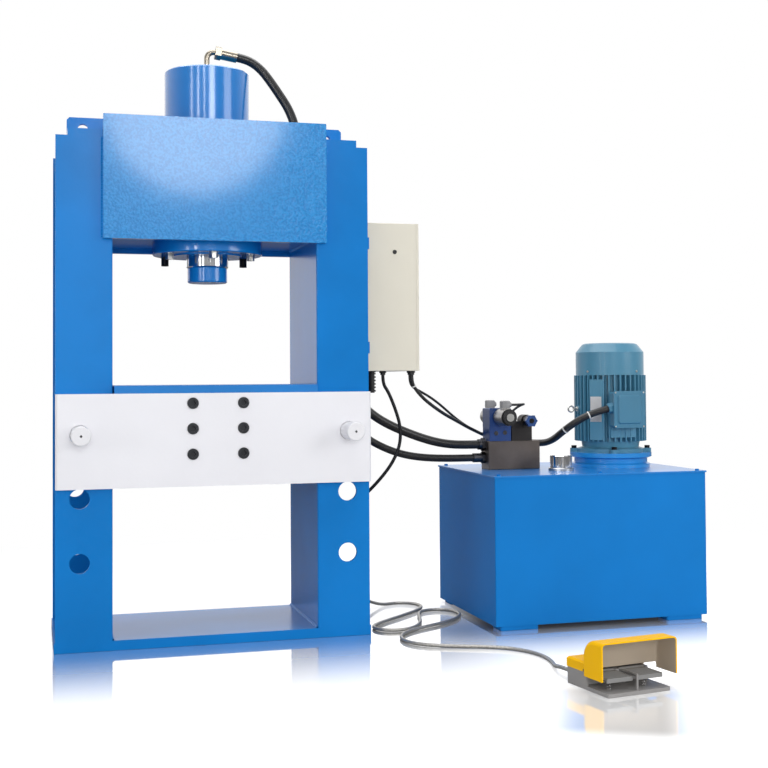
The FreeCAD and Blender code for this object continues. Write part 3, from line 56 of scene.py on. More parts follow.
def new_material(name):
    """An empty node material, its Principled shader and its node tree."""
    material = bpy.data.materials.new(name)
    material.use_nodes = True
    tree = material.node_tree
    shader = tree.nodes["Principled BSDF"]
    return material, tree, shader


def object_noise(tree, scale, detail=4.0, roughness=0.5):
    place = tree.nodes.new("ShaderNodeTexCoord")
    noise = tree.nodes.new("ShaderNodeTexNoise")
    noise.inputs["Scale"].default_value = scale
    noise.inputs["Detail"].default_value = detail
    noise.inputs["Roughness"].default_value = roughness
    tree.links.new(place.outputs["Object"], noise.inputs["Vector"])
    return noise


def ramp(tree, source, low, high, at_low=0.35, at_high=0.65):
    """Maps a factor onto two colours between two levels."""
    colours = tree.nodes.new("ShaderNodeValToRGB")
    colours.color_ramp.elements[0].position = at_low
    colours.color_ramp.elements[0].color = low
    colours.color_ramp.elements[1].position = at_high
    colours.color_ramp.elements[1].color = high
    tree.links.new(source, colours.inputs["Fac"])
    return colours.outputs["Color"]


def bump(tree, shader, height, strength, distance):
    relief = tree.nodes.new("ShaderNodeBump")
    relief.inputs["Strength"].default_value = strength
    relief.inputs["Distance"].default_value = distance
    tree.links.new(height, relief.inputs["Height"])
    tree.links.new(relief.outputs["Normal"], shader.inputs["Normal"])


def shade(colour, factor):
    return (colour[0] * factor, colour[1] * factor, colour[2] * factor, 1.0)


def paint(name, colour, rough, peel_size, peel_depth, coat=0.0, variation=0.08, shine=0.4):
    """Sprayed enamel: an uneven depth of colour over a fine orange peel."""
    material, tree, shader = new_material(name)
    patches = object_noise(tree, 3.0, 5.0)
    colours = ramp(tree, patches.outputs["Fac"], shade(colour, 1 - variation), shade(colour, 1 + variation))
    tree.links.new(colours, shader.inputs["Base Color"])
    shader.inputs["Roughness"].default_value = rough
    shader.inputs["Specular IOR Level"].default_value = shine
    shader.inputs["Coat Weight"].default_value = coat
    shader.inputs["Coat Roughness"].default_value = 0.10
    peel = object_noise(tree, 1.0 / peel_size, 2.0)
    bump(tree, shader, peel.outputs["Fac"], peel_depth, 0.001)
    return material


def dress(material, *names):
    for name in names:
        mesh = nodes[name].data
        mesh.materials.clear()
        mesh.materials.append(material)


def second_finish(name, material, wanted):
    """Gives the faces of a CAD piece whose centre and normal pass the test a second material."""
    piece = nodes[name]
    piece.data.materials.append(material)
    last = len(piece.data.materials) - 1
    turn = piece.matrix_world.to_3x3()
    for face in piece.data.polygons:
        if wanted(piece.matrix_world @ face.center, turn @ face.normal):
            face.material_index = last


press_blue = (0.0047, 0.180, 0.540)
frame_paint = paint("frame paint", press_blue, 0.22, 0.006, 0.18, shine=0.18)
dress(frame_paint, "base_plate", "left_column", "right_column", "head_rear_plate",
      "head_bottom_plate", "column_tops", "cabinet_rails")

# ---- Head front plate ----
# The bare steel plate welded across the head, sprayed thickly.
# The paint dried to a coarse sparkling orange peel under a glossy coat.
head_paint, tree, shader = new_material("head paint")
flecks = object_noise(tree, 125.0, 2.0)
fleck_dark = (0.004, 0.180, 0.500, 1)
fleck_light = (0.012, 0.250, 0.610, 1)
fleck_colours = ramp(tree, flecks.outputs["Fac"], fleck_dark, fleck_light, 0.40, 0.60)
tree.links.new(fleck_colours, shader.inputs["Base Color"])
shader.inputs["Roughness"].default_value = 0.24
shader.inputs["Specular IOR Level"].default_value = 0.25
shader.inputs["Coat Weight"].default_value = 0.6
shader.inputs["Coat Roughness"].default_value = 0.10
bump(tree, shader, flecks.outputs["Fac"], 1.0, 0.0022)
dress(head_paint, "head_front_plate")

# ---- Table plate ----
# Thick steel plate that lies on the bed between the columns, its top edges chamfered.
# It is painted in the frame's blue, with a duller coat.
dress(paint("table paint", press_blue, 0.40, 0.005, 0.3), "table_plate")


def added(name, piece, material, body):
    """Names a new mesh piece, gives it its material and sets it riding on a body."""
    piece.name = name
    piece.data.materials.clear()
    piece.data.materials.append(material)
    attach(piece, body)
    return piece


def mesh_from(name, build):
    """A mesh object filled by build(bm)."""
    mesh = bpy.data.meshes.new(name)
    piece = bpy.data.objects.new(name, mesh)
    bpy.context.scene.collection.objects.link(piece)
    bm = bmesh.new()
    build(bm)
    bm.to_mesh(mesh)
    bm.free()
    return piece


def weld_line(bm, start, end, across, leg=0.006, step=0.0035):
    """A fillet bead with its ripples along a straight inside corner."""
    start = Vector(start)
    end = Vector(end)
    side_a = Vector(across[0])
    side_b = Vector(across[1])
    count = max(2, int((end - start).length / step))
    rows = []
    for i in range(count + 1):
        middle = start + (end - start) * (i / count)
        swell = 1.0 + 0.10 * math.sin(i * 2.1) + (0.12 if i % 2 else 0.0)
        reach = leg * swell
        crown = middle + (side_a + side_b) * reach * 0.62
        places = (middle + side_a * reach, crown, middle + side_b * reach)
        rows.append([bm.verts.new(p) for p in places])
    for low, high in zip(rows, rows[1:]):
        for k in range(2):
            bm.faces.new((low[k], low[k + 1], high[k + 1], high[k]))


# ---- Weld beads ----
# Fillet welds at the column feet, along the head plates' upright edges and under the head,
# all painted over with the frame.
column_inside = 0.338
base_top = 0.032
foot_reach = 0.226
head_underside = 1.345
under_head_reach = 0.228
head_plate_edge = 0.369
column_face = 0.233
head_plate_low = 1.332
head_plate_high = 1.656


def frame_welds(bm):
    for side in (-1, 1):
        inner = side * column_inside
        weld_line(bm, (inner, -foot_reach, base_top), (inner, foot_reach, base_top),
                  ((-side, 0, 0), (0, 0, 1)))
        weld_line(bm, (inner, -under_head_reach, head_underside), (inner, under_head_reach, head_underside),
                  ((-side, 0, 0), (0, 0, -1)), leg=0.005)
        edge = side * head_plate_edge
        for facing in (-1, 1):
            face = facing * column_face
            weld_line(bm, (edge, face, head_plate_low), (edge, face, head_plate_high),
                      ((side, 0, 0), (0, facing, 0)))


added("frame_welds", mesh_from("frame_welds", frame_welds), frame_paint, "frame")

# ---- Cylinder ----
# Turned barrel with its flange under the head, the guide bush and the ram's head.
# They have a glossier coat of the same blue, matt on the end that closes the barrel.
dress(paint("cylinder paint", press_blue, 0.20, 0.004, 0.12, coat=0.5, shine=0.5),
      "cylinder_barrel", "cylinder_gland", "ram_head")
barrel_end = 1.9
second_finish("cylinder_barrel", paint("barrel end paint", press_blue, 0.7, 0.004, 0.2, shine=0.05),
              lambda centre, normal: normal.z > 0.9 and centre.z > barrel_end)

# ---- Rod ----
# Hard-chromed ground steel rod that runs down through the bush to the ram's head.
# Its fine marks run along its length.


def metal(name, colour, rough, scratch=0.25, axis=None, grain=600.0):
    """Bare metal: a grey that varies a little, with fine machining marks."""
    material, tree, shader = new_material(name)
    shader.inputs["Metallic"].default_value = 1.0
    marks = object_noise(tree, grain, 3.0)
    if axis is not None:
        stretch = tree.nodes.new("ShaderNodeMapping")
        stretch.inputs["Scale"].default_value = axis
        place = tree.nodes.new("ShaderNodeTexCoord")
        tree.links.new(place.outputs["Object"], stretch.inputs["Vector"])
        tree.links.new(stretch.outputs["Vector"], marks.inputs["Vector"])
    patches = object_noise(tree, 12.0, 4.0)
    colours = ramp(tree, patches.outputs["Fac"], shade(colour, 0.85), shade(colour, 1.1))
    tree.links.new(colours, shader.inputs["Base Color"])
    levels = tree.nodes.new("ShaderNodeMapRange")
    levels.inputs["To Min"].default_value = rough * 0.75
    levels.inputs["To Max"].default_value = rough * 1.3
    tree.links.new(marks.outputs["Fac"], levels.inputs["Value"])
    tree.links.new(levels.outputs["Result"], shader.inputs["Roughness"])
    bump(tree, shader, marks.outputs["Fac"], scratch, 0.0004)
    return material


dress(metal("chromed rod", (0.72, 0.73, 0.75), 0.12, 0.05, axis=(1, 1, 0.05), grain=300.0), "piston_rod")

# ---- Flange bolts ----
# Six bolts that hold the barrel's flange under the head: three zinc plated hexagon bolts
# in front and three black socket bolts behind.
black_oxide = metal("black oxide", (0.030, 0.030, 0.033), 0.36, 0.15)
bright_zinc = metal("bright zinc", (0.62, 0.62, 0.60), 0.30, 0.12)
dress(black_oxide, "head_bolts")
second_finish("head_bolts", bright_zinc, lambda centre, normal: centre.y < 0.02)

# ---- Bed plates ----
# Flame-cut steel plates in front and behind, screwed to the spacers between them.
# All are sprayed in an off-white enamel.
bed_enamel = paint("bed enamel", (0.78, 0.78, 0.82), 0.42, 0.007, 0.2, coat=0.1, variation=0.02)
dress(bed_enamel, "bed_front_plate", "bed_rear_plate", "bed_spacers")

# ---- Bed screws ----
# Black oxidised socket screws, six in each plate, that clamp it to the spacers.
# Their heads are sunk a little in their seats.
dress(metal("screw black", (0.085, 0.088, 0.096), 0.34, 0.2), "bed_screws")

# ---- Bed pins ----
# Long turned steel pins through both bed plates and both flanges of each column.
# They are enamelled like the bed, with a bare centre mark in the front end.
pin_x = 0.442
pin_height = 0.694
pin_front = -0.3
mark_radius = 0.006
dress(paint("pin enamel", (0.76, 0.76, 0.79), 0.38, 0.004, 0.15, coat=0.15, variation=0.03),
      "left_pin", "right_pin")
centre_mark = metal("centre mark", (0.22, 0.22, 0.23), 0.4, 0.2)
for pin, side in (("left_pin", -1), ("right_pin", 1)):
    second_finish(pin, centre_mark, lambda centre, normal: centre.y < pin_front and abs(normal.y) < 0.9 and
                  math.hypot(centre.x - side * pin_x, centre.z - pin_height) < mark_radius)

# ---- Cabinet ----
# Folded sheet steel box that is open towards the power pack, and its door on two hinges
# at the rear edge. All have a light grey-beige texture paint.
dress(paint("cabinet texture paint", (0.675, 0.645, 0.555), 0.6, 0.0016, 0.5, variation=0.02, shine=0.3),
      "cabinet_body", "cabinet_door", "door_hinges")

# ---- Door lock ----
# Zinc plated lock that turns in a round hole through the door.
# It has the plain grey of a die-cast part.
dress(metal("zinc plate", (0.60, 0.61, 0.62), 0.35, 0.1), "door_lock")

# ---- Cable glands ----
# Compression glands and a blanking plug of moulded black nylon,
# in a row of holes in the cabinet's floor.


def plastic(name, colour, rough):
    """Moulded plastic with a fine matt grain."""
    material, tree, shader = new_material(name)
    patches = object_noise(tree, 20.0, 3.0)
    colours = ramp(tree, patches.outputs["Fac"], shade(colour, 0.85), shade(colour, 1.15))
    tree.links.new(colours, shader.inputs["Base Color"])
    shader.inputs["Roughness"].default_value = rough
    grain = object_noise(tree, 900.0, 2.0)
    bump(tree, shader, grain.outputs["Fac"], 0.2, 0.0004)
    return material


black_nylon = plastic("black nylon", (0.012, 0.012, 0.013), 0.40)
dress(black_nylon, "cable_glands")

# ---- Tank ----
# Welded sheet steel tank on four foot pads, with a loose lid and its screws.
# They are in the press blue, like the pump inside.
dress(paint("tank paint", press_blue, 0.34, 0.010, 0.18, variation=0.05, shine=0.15),
      "tank_body", "lid_screws", "pump")
dress(paint("lid paint", press_blue, 0.30, 0.008, 0.2, coat=0.25, variation=0.05, shine=0.5), "tank_lid")

# ---- Filler ----
# Zinc plated neck flange on the lid, under a chromed breather cap with a notched rim
# that turns on it.
dress(metal("neck zinc", (0.55, 0.56, 0.57), 0.32, 0.1), "filler_neck")
dress(metal("bright chrome", (0.82, 0.82, 0.83), 0.10, 0.03), "filler_cap")

# ---- Manifold block ----
# Block on the lid that takes both hoses and carries the valve.
# It is phosphated cast iron, brown-grey and slightly oily.
dress(metal("phosphated iron", (0.150, 0.128, 0.116), 0.45, 0.35, grain=250.0), "manifold_block")

# ---- Valve ----
# Sandwich plate and valve body, stacked on the manifold block.
# Both are castings in a dark blue enamel.
valve_enamel = paint("valve enamel", (0.012, 0.045, 0.170), 0.35, 0.002, 0.2, coat=0.1, variation=0.15)
dress(valve_enamel, "sandwich_plate", "valve_body")

# ---- Port plugs ----
# Two screwed plugs with a hexagon in the front of the sandwich plate.
# They are of dark oily steel and stand just proud of it.
oily_steel = metal("oily steel", (0.10, 0.10, 0.11), 0.30, 0.2)
plug_places = ((1.0620, 0.6640), (1.0964, 0.6656))
plug_head = (0.0085, 0.0012, 24)
plug_hexagon = (0.0042, 0.0014, 6)
sandwich_front = -0.017


def turned_disc(bm, x, face, z, radius, depth, sides):
    """A slightly tapered disc or hexagon that stands out forwards from a face."""
    place = Matrix.Translation((x, face - depth / 2, z)) @ Matrix.Rotation(math.radians(90), 4, "X")
    bmesh.ops.create_cone(bm, cap_ends=True, segments=sides, radius1=radius, radius2=radius * 0.92,
                          depth=depth, matrix=place)


def port_plugs(bm):
    for x, z in plug_places:
        for radius, depth, sides in (plug_head, plug_hexagon):
            turned_disc(bm, x, sandwich_front, z, radius, depth, sides)


added("port_plugs", mesh_from("port_plugs", port_plugs), oily_steel, "frame")

# ---- Solenoids ----
# Zinc-cased coils, one at each end of the valve body, each held by a black nut
# with a light push button in it.
nuts = (-0.1065, 0.1175)
buttons = (-0.1163, 0.1283)
dress(metal("coil casing", (0.42, 0.41, 0.40), 0.38, 0.2), "solenoids")
second_finish("solenoids", black_nylon, lambda centre, normal: centre.y < nuts[0] or centre.y > nuts[1])
second_finish("solenoids", bright_zinc, lambda centre, normal: centre.y < buttons[0] or centre.y > buttons[1])

# ---- Coil plugs ----
# Plug-in connectors of moulded grey nylon,
# one on each coil.
grey_nylon = plastic("grey nylon", (0.25, 0.25, 0.26), 0.4)
dress(grey_nylon, "coil_plugs")

# ---- Relief valve ----
# Pressure relief valve with a dark phosphated steel body
# and a dark blue painted star handle on its spindle.
dress(metal("relief body", (0.055, 0.052, 0.052), 0.38, 0.3, grain=250.0), "relief_valve")
dress(paint("handle blue", (0.018, 0.060, 0.200), 0.30, 0.002, 0.1, coat=0.3, variation=0.1), "relief_knob")

# ---- Handle screw ----
# The black steel washer and bright zinc plated screw that hold the star handle
# on its spindle. They turn with the handle.
handle_x = 1.185
handle_height = 0.709
handle_front = -0.062
washer = (0.0095, 0.0012, 24)
screw_top = (0.0050, 0.0024, 24)
washer_front = -0.0633


def handle_screw(bm):
    for radius, depth, sides in (washer, screw_top):
        turned_disc(bm, handle_x, handle_front, handle_height, radius, depth, sides)
    for face in bm.faces:
        face.material_index = int(face.calc_center_median().y < washer_front)


screw = added("handle_screw", mesh_from("handle_screw", handle_screw), black_oxide, "relief_handle")
screw.data.materials.append(bright_zinc)

# ---- Motor ----
# Finned aluminium housing, pressed cowl and terminal box in a blue-green enamel.
# The housing stands by its flange on a bell housing in a brighter press blue.
motor_enamel = paint("motor enamel", (0.065, 0.220, 0.335), 0.36, 0.004, 0.22, coat=0.15, variation=0.06)
dress(motor_enamel, "motor_body", "motor_cowl")
dress(paint("box enamel", (0.045, 0.175, 0.280), 0.36, 0.004, 0.22, coat=0.15, variation=0.06),
      "terminal_box")
dress(paint("bell housing enamel", (0.018, 0.250, 0.630), 0.28, 0.005, 0.2, coat=0.3), "motor_ring")

# ---- Motor fasteners ----
# Black steel bolts that hold the motor's flange to the bell housing,
# and a bright zinc plated lifting eye in its boss.
flange_bolts_top = 0.65
dress(black_oxide, "motor_fasteners")
second_finish("motor_fasteners", bright_zinc, lambda centre, normal: centre.z > flange_bolts_top)

# ---- Motor fan, rotor and coupling ----
# Moulded black nylon fan under the cowl, on the rotor's turned steel shaft.
# A sleeve coupling of the same steel joins the shaft to the pump.
dress(black_nylon, "motor_fan")
dress(metal("turned steel", (0.60, 0.60, 0.59), 0.28, 0.2, axis=(1, 1, 8), grain=120.0),
      "motor_rotor", "pump_coupling")

# ---- Motor plate ----
# Plain aluminium sheet on the pad cast on the housing,
# held by four drive rivets.
motor_x = 1.54
motor_y = 0.02
plate_turn = -48
plate_height = 0.749
plate_size = (0.044, 0.0008, 0.094, 1.0)
plate_reach = -0.1366
rivet_reach = -0.1370
rivet_x = 0.019
rivet_z = 0.043
rivet_radius = 0.0016


def motor_plate(bm):
    middle = Matrix.Translation((motor_x, motor_y, plate_height))
    turn = middle @ Matrix.Rotation(math.radians(plate_turn), 4, "Z")
    size = Matrix.Diagonal(plate_size)
    bmesh.ops.create_cube(bm, size=1.0, matrix=turn @ Matrix.Translation((0, plate_reach, 0)) @ size)
    for x in (-rivet_x, rivet_x):
        for z in (-rivet_z, rivet_z):
            place = turn @ Matrix.Translation((x, rivet_reach, z)) @ Matrix.Diagonal((1, 0.5, 1, 1))
            bmesh.ops.create_uvsphere(bm, u_segments=10, v_segments=6, radius=rivet_radius, matrix=place)


plate_aluminium = metal("plate aluminium", (0.70, 0.70, 0.71), 0.42, 0.1)
added("motor_plate", mesh_from("motor_plate", motor_plate), plate_aluminium, "frame")

# ---- Terminal box and cowl screws ----
# Small cheese-head screws of bright zinc plated steel, at the corners of the box's cover
# and round the cowl's rim.
cover_screw_x = (1.4745, 1.5875)
cover_screw_z = (0.6865, 0.8115)
cover_front = -0.1632
cover_screw_radius = 0.0034
cowl_screw_angles = (25, 115, 205, 295)
cowl_screw_height = 0.890
cowl_reach = 0.1288
cowl_screw_radius = 0.0048
screw_depth = 0.0024


def screw_head(bm, place, radius):
    bmesh.ops.create_cone(bm, cap_ends=True, segments=12, radius1=radius, radius2=radius * 0.85,
                          depth=screw_depth, matrix=place)


def motor_screws(bm):
    for x in cover_screw_x:
        for z in cover_screw_z:
            place = Matrix.Translation((x, cover_front, z)) @ Matrix.Rotation(math.radians(90), 4, "X")
            screw_head(bm, place, cover_screw_radius)
    rim = Matrix.Translation((motor_x, motor_y, cowl_screw_height))
    for angle in cowl_screw_angles:
        turn = rim @ Matrix.Rotation(math.radians(angle), 4, "Z")
        place = turn @ Matrix.Translation((cowl_reach, 0, 0)) @ Matrix.Rotation(math.radians(90), 4, "Y")
        screw_head(bm, place, cowl_screw_radius)


added("motor_screws", mesh_from("motor_screws", motor_screws), bright_zinc, "frame")

# ---- Hose fittings ----
# Steel elbow and hose sleeves: yellow-passivated at the barrel, and dark and oily
# at the manifold block.
between_ends = 0.6
yellow_zinc = metal("yellow zinc", (0.34, 0.305, 0.250), 0.30, 0.12)
dress(yellow_zinc, "hose_ends", "top_elbow")
second_finish("hose_ends", oily_steel, lambda centre, normal: centre.x > between_ends)

# ---- Foot switch ----
# Cast base and two treadles in grey paint, under a guard that is enamelled yellow
# outside and pale brown-grey inside.
dress(paint("pedal grey", (0.300, 0.290, 0.285), 0.48, 0.002, 0.35, variation=0.12), "pedal_base")
dress(paint("treadle grey", (0.230, 0.228, 0.224), 0.55, 0.0015, 0.3, variation=0.12),
      "left_treadle", "right_treadle")
dress(paint("guard yellow", (0.95, 0.520, 0.002), 0.40, 0.003, 0.3, variation=0.05, shine=0.10),
      "pedal_guard")
guard_centre = Vector((1.020, -1.166, 0.080))
inward_reach = 0.012
guard_inside_low = 0.036
second_finish("pedal_guard", paint("guard inside", (0.45, 0.375, 0.290), 0.5, 0.002, 0.3, variation=0.06),
              lambda centre, normal: normal.dot(guard_centre - centre) > inward_reach
              and centre.z > guard_inside_low)

# ---- Treadle springs ----
# Compression springs of bright wire between the sole and each treadle, each wound from one piece.


def wire_coil(bm, low, high, wire=0.0018, turns=4, steps=20, sides=8):
    """A helix of round wire that fills the box between two corners."""
    middle = (low + high) / 2
    radius = (high.x - low.x - wire) / 2
    rings = []
    for i in range(turns * steps + 1):
        angle = 2 * math.pi * i / steps
        outward = Vector((math.cos(angle), math.sin(angle), 0))
        height = low.z + wire / 2 + (high.z - low.z - wire) * i / (turns * steps)
        core = Vector((middle.x, middle.y, height)) + outward * radius
        ring = []
        for k in range(sides):
            across = 2 * math.pi * k / sides
            offset = outward * math.cos(across) + Vector((0, 0, math.sin(across)))
            ring.append(bm.verts.new(core + offset * wire / 2))
        rings.append(ring)
    for lower, upper in zip(rings, rings[1:]):
        for k in range(sides):
            bm.faces.new((lower[k - 1], lower[k], upper[k], upper[k - 1])).smooth = True
    bm.faces.new(rings[0])
    bm.faces.new(rings[-1])
    bmesh.ops.recalc_face_normals(bm, faces=bm.faces)


spring_wire = metal("spring wire", (0.62, 0.62, 0.62), 0.25, 0.1)
for side in ("left", "right"):
    low, high = (Vector(corner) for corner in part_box(side + "_spring"))
    coil = added(side + "_spring_wire", mesh_from(side + "_spring_wire", lambda bm: wire_coil(bm, low, high)),
                 spring_wire, "frame")
    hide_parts(side + "_spring")
    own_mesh(coil)


# ---- Top hose ----
# Rubber hydraulic hose from the elbow on the barrel, down inside the column, to the
# manifold. A sleeve is crimped on each end.


def rubber(name, colour, rough, weave):
    """Black rubber cover with the faint wrap marks of its curing tape."""
    material, tree, shader = new_material(name)
    patches = object_noise(tree, 30.0, 4.0)
    colours = ramp(tree, patches.outputs["Fac"], shade(colour, 0.8), shade(colour, 1.3))
    tree.links.new(colours, shader.inputs["Base Color"])
    shader.inputs["Roughness"].default_value = rough
    wrap = object_noise(tree, weave, 3.0)
    bump(tree, shader, wrap.outputs["Fac"], 0.3, 0.0006)
    return material


def spline_cord(name, points, diameter, node, material, round_steps=4):
    """A cord drawn as one spline over the CAD tube's own points, standing for that node."""
    curve = bpy.data.curves.new(name, "CURVE")
    curve.dimensions = "3D"
    spline = curve.splines.new("NURBS")
    spline.points.add(len(points) - 1)
    for place, point in zip(points, spline.points):
        point.co = (place[0], place[1], place[2], 1)
    spline.order_u = 3
    spline.use_endpoint_u = True
    spline.resolution_u = 8
    curve.bevel_depth = diameter / 2
    curve.bevel_resolution = round_steps
    curve.use_fill_caps = True
    piece = bpy.data.objects.new(name, curve)
    bpy.context.scene.collection.objects.link(piece)
    curve.materials.append(material)
    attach(piece, "frame")
    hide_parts(node)
    spline_length(piece)
    return piece


def spline_length(piece):
    """The length of the drawn spline, measured along an unbevelled copy."""
    bare = piece.data.copy()
    bare.bevel_depth = 0.0
    probe = bpy.data.objects.new("probe", bare)
    bpy.context.scene.collection.objects.link(probe)
    bpy.context.view_layer.update()
    mesh = probe.to_mesh()
    ends = (edge.vertices for edge in mesh.edges)
    total = sum((mesh.vertices[a].co - mesh.vertices[b].co).length for a, b in ends)
    probe.to_mesh_clear()
    bpy.data.objects.remove(probe)
    bpy.data.curves.remove(bare)
    return total


hose_rubber = rubber("hose rubber", (0.012, 0.012, 0.013), 0.33, 260.0)
top_hose_points = [(0.105, 0, 2.005), (0.1346, 0, 2.0002), (0.1656, -0.002, 1.9862),
                   (0.1946, -0.006, 1.9616), (0.2197, -0.012, 1.928), (0.25, -0.024, 1.88),
                   (0.283, -0.038, 1.824), (0.304, -0.049, 1.762), (0.312, -0.055, 1.694),
                   (0.315, -0.058, 1.626), (0.328, -0.055, 1.548), (0.356, -0.05, 1.476),
                   (0.392, -0.044, 1.396), (0.42, -0.038, 1.305), (0.44, -0.033, 1.21),
                   (0.454, -0.029, 1.115), (0.463, -0.026, 1.02), (0.474, -0.024, 0.93),
                   (0.496, -0.02, 0.856), (0.534, -0.014, 0.792), (0.584, -0.006, 0.744),
                   (0.642, 0.004, 0.708), (0.712, 0.013, 0.677), (0.788, 0.02, 0.649), (0.85, 0.023, 0.632),
                   (0.905, 0.025, 0.624), (0.955, 0.025, 0.622), (1.005, 0.025, 0.622)]
spline_cord("top_hose_cover", top_hose_points, 0.032, "top_hose", hose_rubber)

# ---- Rod hose ----
# The thinner rubber hose from the port on the barrel's side, through the slot in the
# column's web and down the same column to the manifold.
rod_hose_points = [(0.235, 0.04, 1.47), (0.297, 0.04, 1.47), (0.362, 0.041, 1.462), (0.415, 0.042, 1.427),
                   (0.448, 0.043, 1.372), (0.464, 0.044, 1.3), (0.471, 0.046, 1.215), (0.475, 0.047, 1.12),
                   (0.477, 0.046, 1.02), (0.48, 0.044, 0.925), (0.486, 0.041, 0.836), (0.5, 0.038, 0.76),
                   (0.53, 0.035, 0.698), (0.58, 0.031, 0.652), (0.642, 0.028, 0.617), (0.714, 0.026, 0.591),
                   (0.785, 0.025, 0.579), (0.853, 0.025, 0.5745), (0.919, 0.025, 0.573),
                   (0.985, 0.025, 0.573)]
spline_cord("rod_hose_cover", rod_hose_points, 0.027, "rod_hose", hose_rubber)

# ---- Power lead ----
# Round black rubber lead from its gland under the cabinet to the motor's conduit behind
# the valve, with a light nylon tie near the cabinet.
lead_rubber = rubber("lead rubber", (0.012, 0.012, 0.013), 0.42, 500.0)
tie_nylon = plastic("tie nylon", (0.62, 0.62, 0.60), 0.4)


def cable_tie(name, before, after, radius):
    """A narrow strap with its square head, half way between two points of a cord's route."""
    start = Vector(before)
    end = Vector(after)
    turn = (end - start).to_track_quat("Z", "Y").to_matrix().to_4x4()

    def strap(bm):
        outside = radius + 0.0013
        bmesh.ops.create_cone(bm, cap_ends=True, segments=20, radius1=outside, radius2=outside, depth=0.0045)
        head = Matrix.Translation((radius + 0.002, 0, 0)) @ Matrix.Diagonal((0.005, 0.006, 0.006, 1))
        bmesh.ops.create_cube(bm, size=1.0, matrix=head)
        bmesh.ops.transform(bm, matrix=Matrix.Translation((start + end) / 2) @ turn, verts=bm.verts)

    return added(name, mesh_from(name, strap), tie_nylon, "frame")


power_lead_points = [(0.7, -0.141, 0.881), (0.7, -0.141, 0.854), (0.7165, -0.137, 0.8275),
                     (0.7493, -0.126, 0.7952), (0.7921, -0.108, 0.766), (0.8438, -0.076, 0.7378),
                     (0.8998, -0.034, 0.7141), (0.9588, 0.014, 0.6885), (1.0164, 0.06, 0.6666),
                     (1.068, 0.098, 0.6472), (1.098, 0.122, 0.632), (1.124, 0.13, 0.625),
                     (1.15, 0.13, 0.625)]
lead_tie = cable_tie("lead_tie", power_lead_points[1], power_lead_points[2], 0.006)
spline_cord("power_lead_cover", power_lead_points, 0.012, "power_lead", lead_rubber)

# ---- Valve lead ----
# Thin black rubber lead from its gland under the cabinet, round behind the valve,
# to the front coil's plug.
valve_lead_points = [(0.7, -0.114, 0.881), (0.7, -0.114, 0.857), (0.7126, -0.11, 0.8369),
                     (0.7452, -0.098, 0.8216), (0.7863, -0.08, 0.8014), (0.8317, -0.056, 0.7736),
                     (0.8777, -0.026, 0.7415), (0.9252, 0.012, 0.7124), (0.9749, 0.054, 0.6876),
                     (1.0274, 0.096, 0.6658), (1.066, 0.13, 0.655), (1.11, 0.149, 0.668),
                     (1.145, 0.14, 0.7), (1.166, 0.104, 0.735), (1.174, 0.052, 0.759),
                     (1.176, -0.004, 0.77), (1.162, -0.043, 0.7705), (1.135, -0.065, 0.7695),
                     (1.1015, -0.065, 0.7695)]
spline_cord("valve_lead_cover", valve_lead_points, 0.009, "valve_lead", lead_rubber)

# ---- Motor conduit ----
# Black plastic conduit over the motor's lead, from behind the valve up to the terminal box,
# with two light nylon ties.
conduit_points = [(1.15, 0.13, 0.625), (1.186, 0.13, 0.625), (1.22, 0.119, 0.623), (1.249, 0.098, 0.6205),
                  (1.27, 0.069, 0.62), (1.284, 0.034, 0.624), (1.293, -0.012, 0.638), (1.3, -0.06, 0.661),
                  (1.322, -0.1, 0.691), (1.359, -0.125, 0.719), (1.404, -0.136, 0.74),
                  (1.455, -0.136, 0.751)]
conduit_ties = [cable_tie("conduit_tie_low", conduit_points[7], conduit_points[8], 0.013),
                cable_tie("conduit_tie_high", conduit_points[9], conduit_points[10], 0.013)]
spline_cord("motor_conduit_cover", conduit_points, 0.026, "motor_conduit", black_nylon)
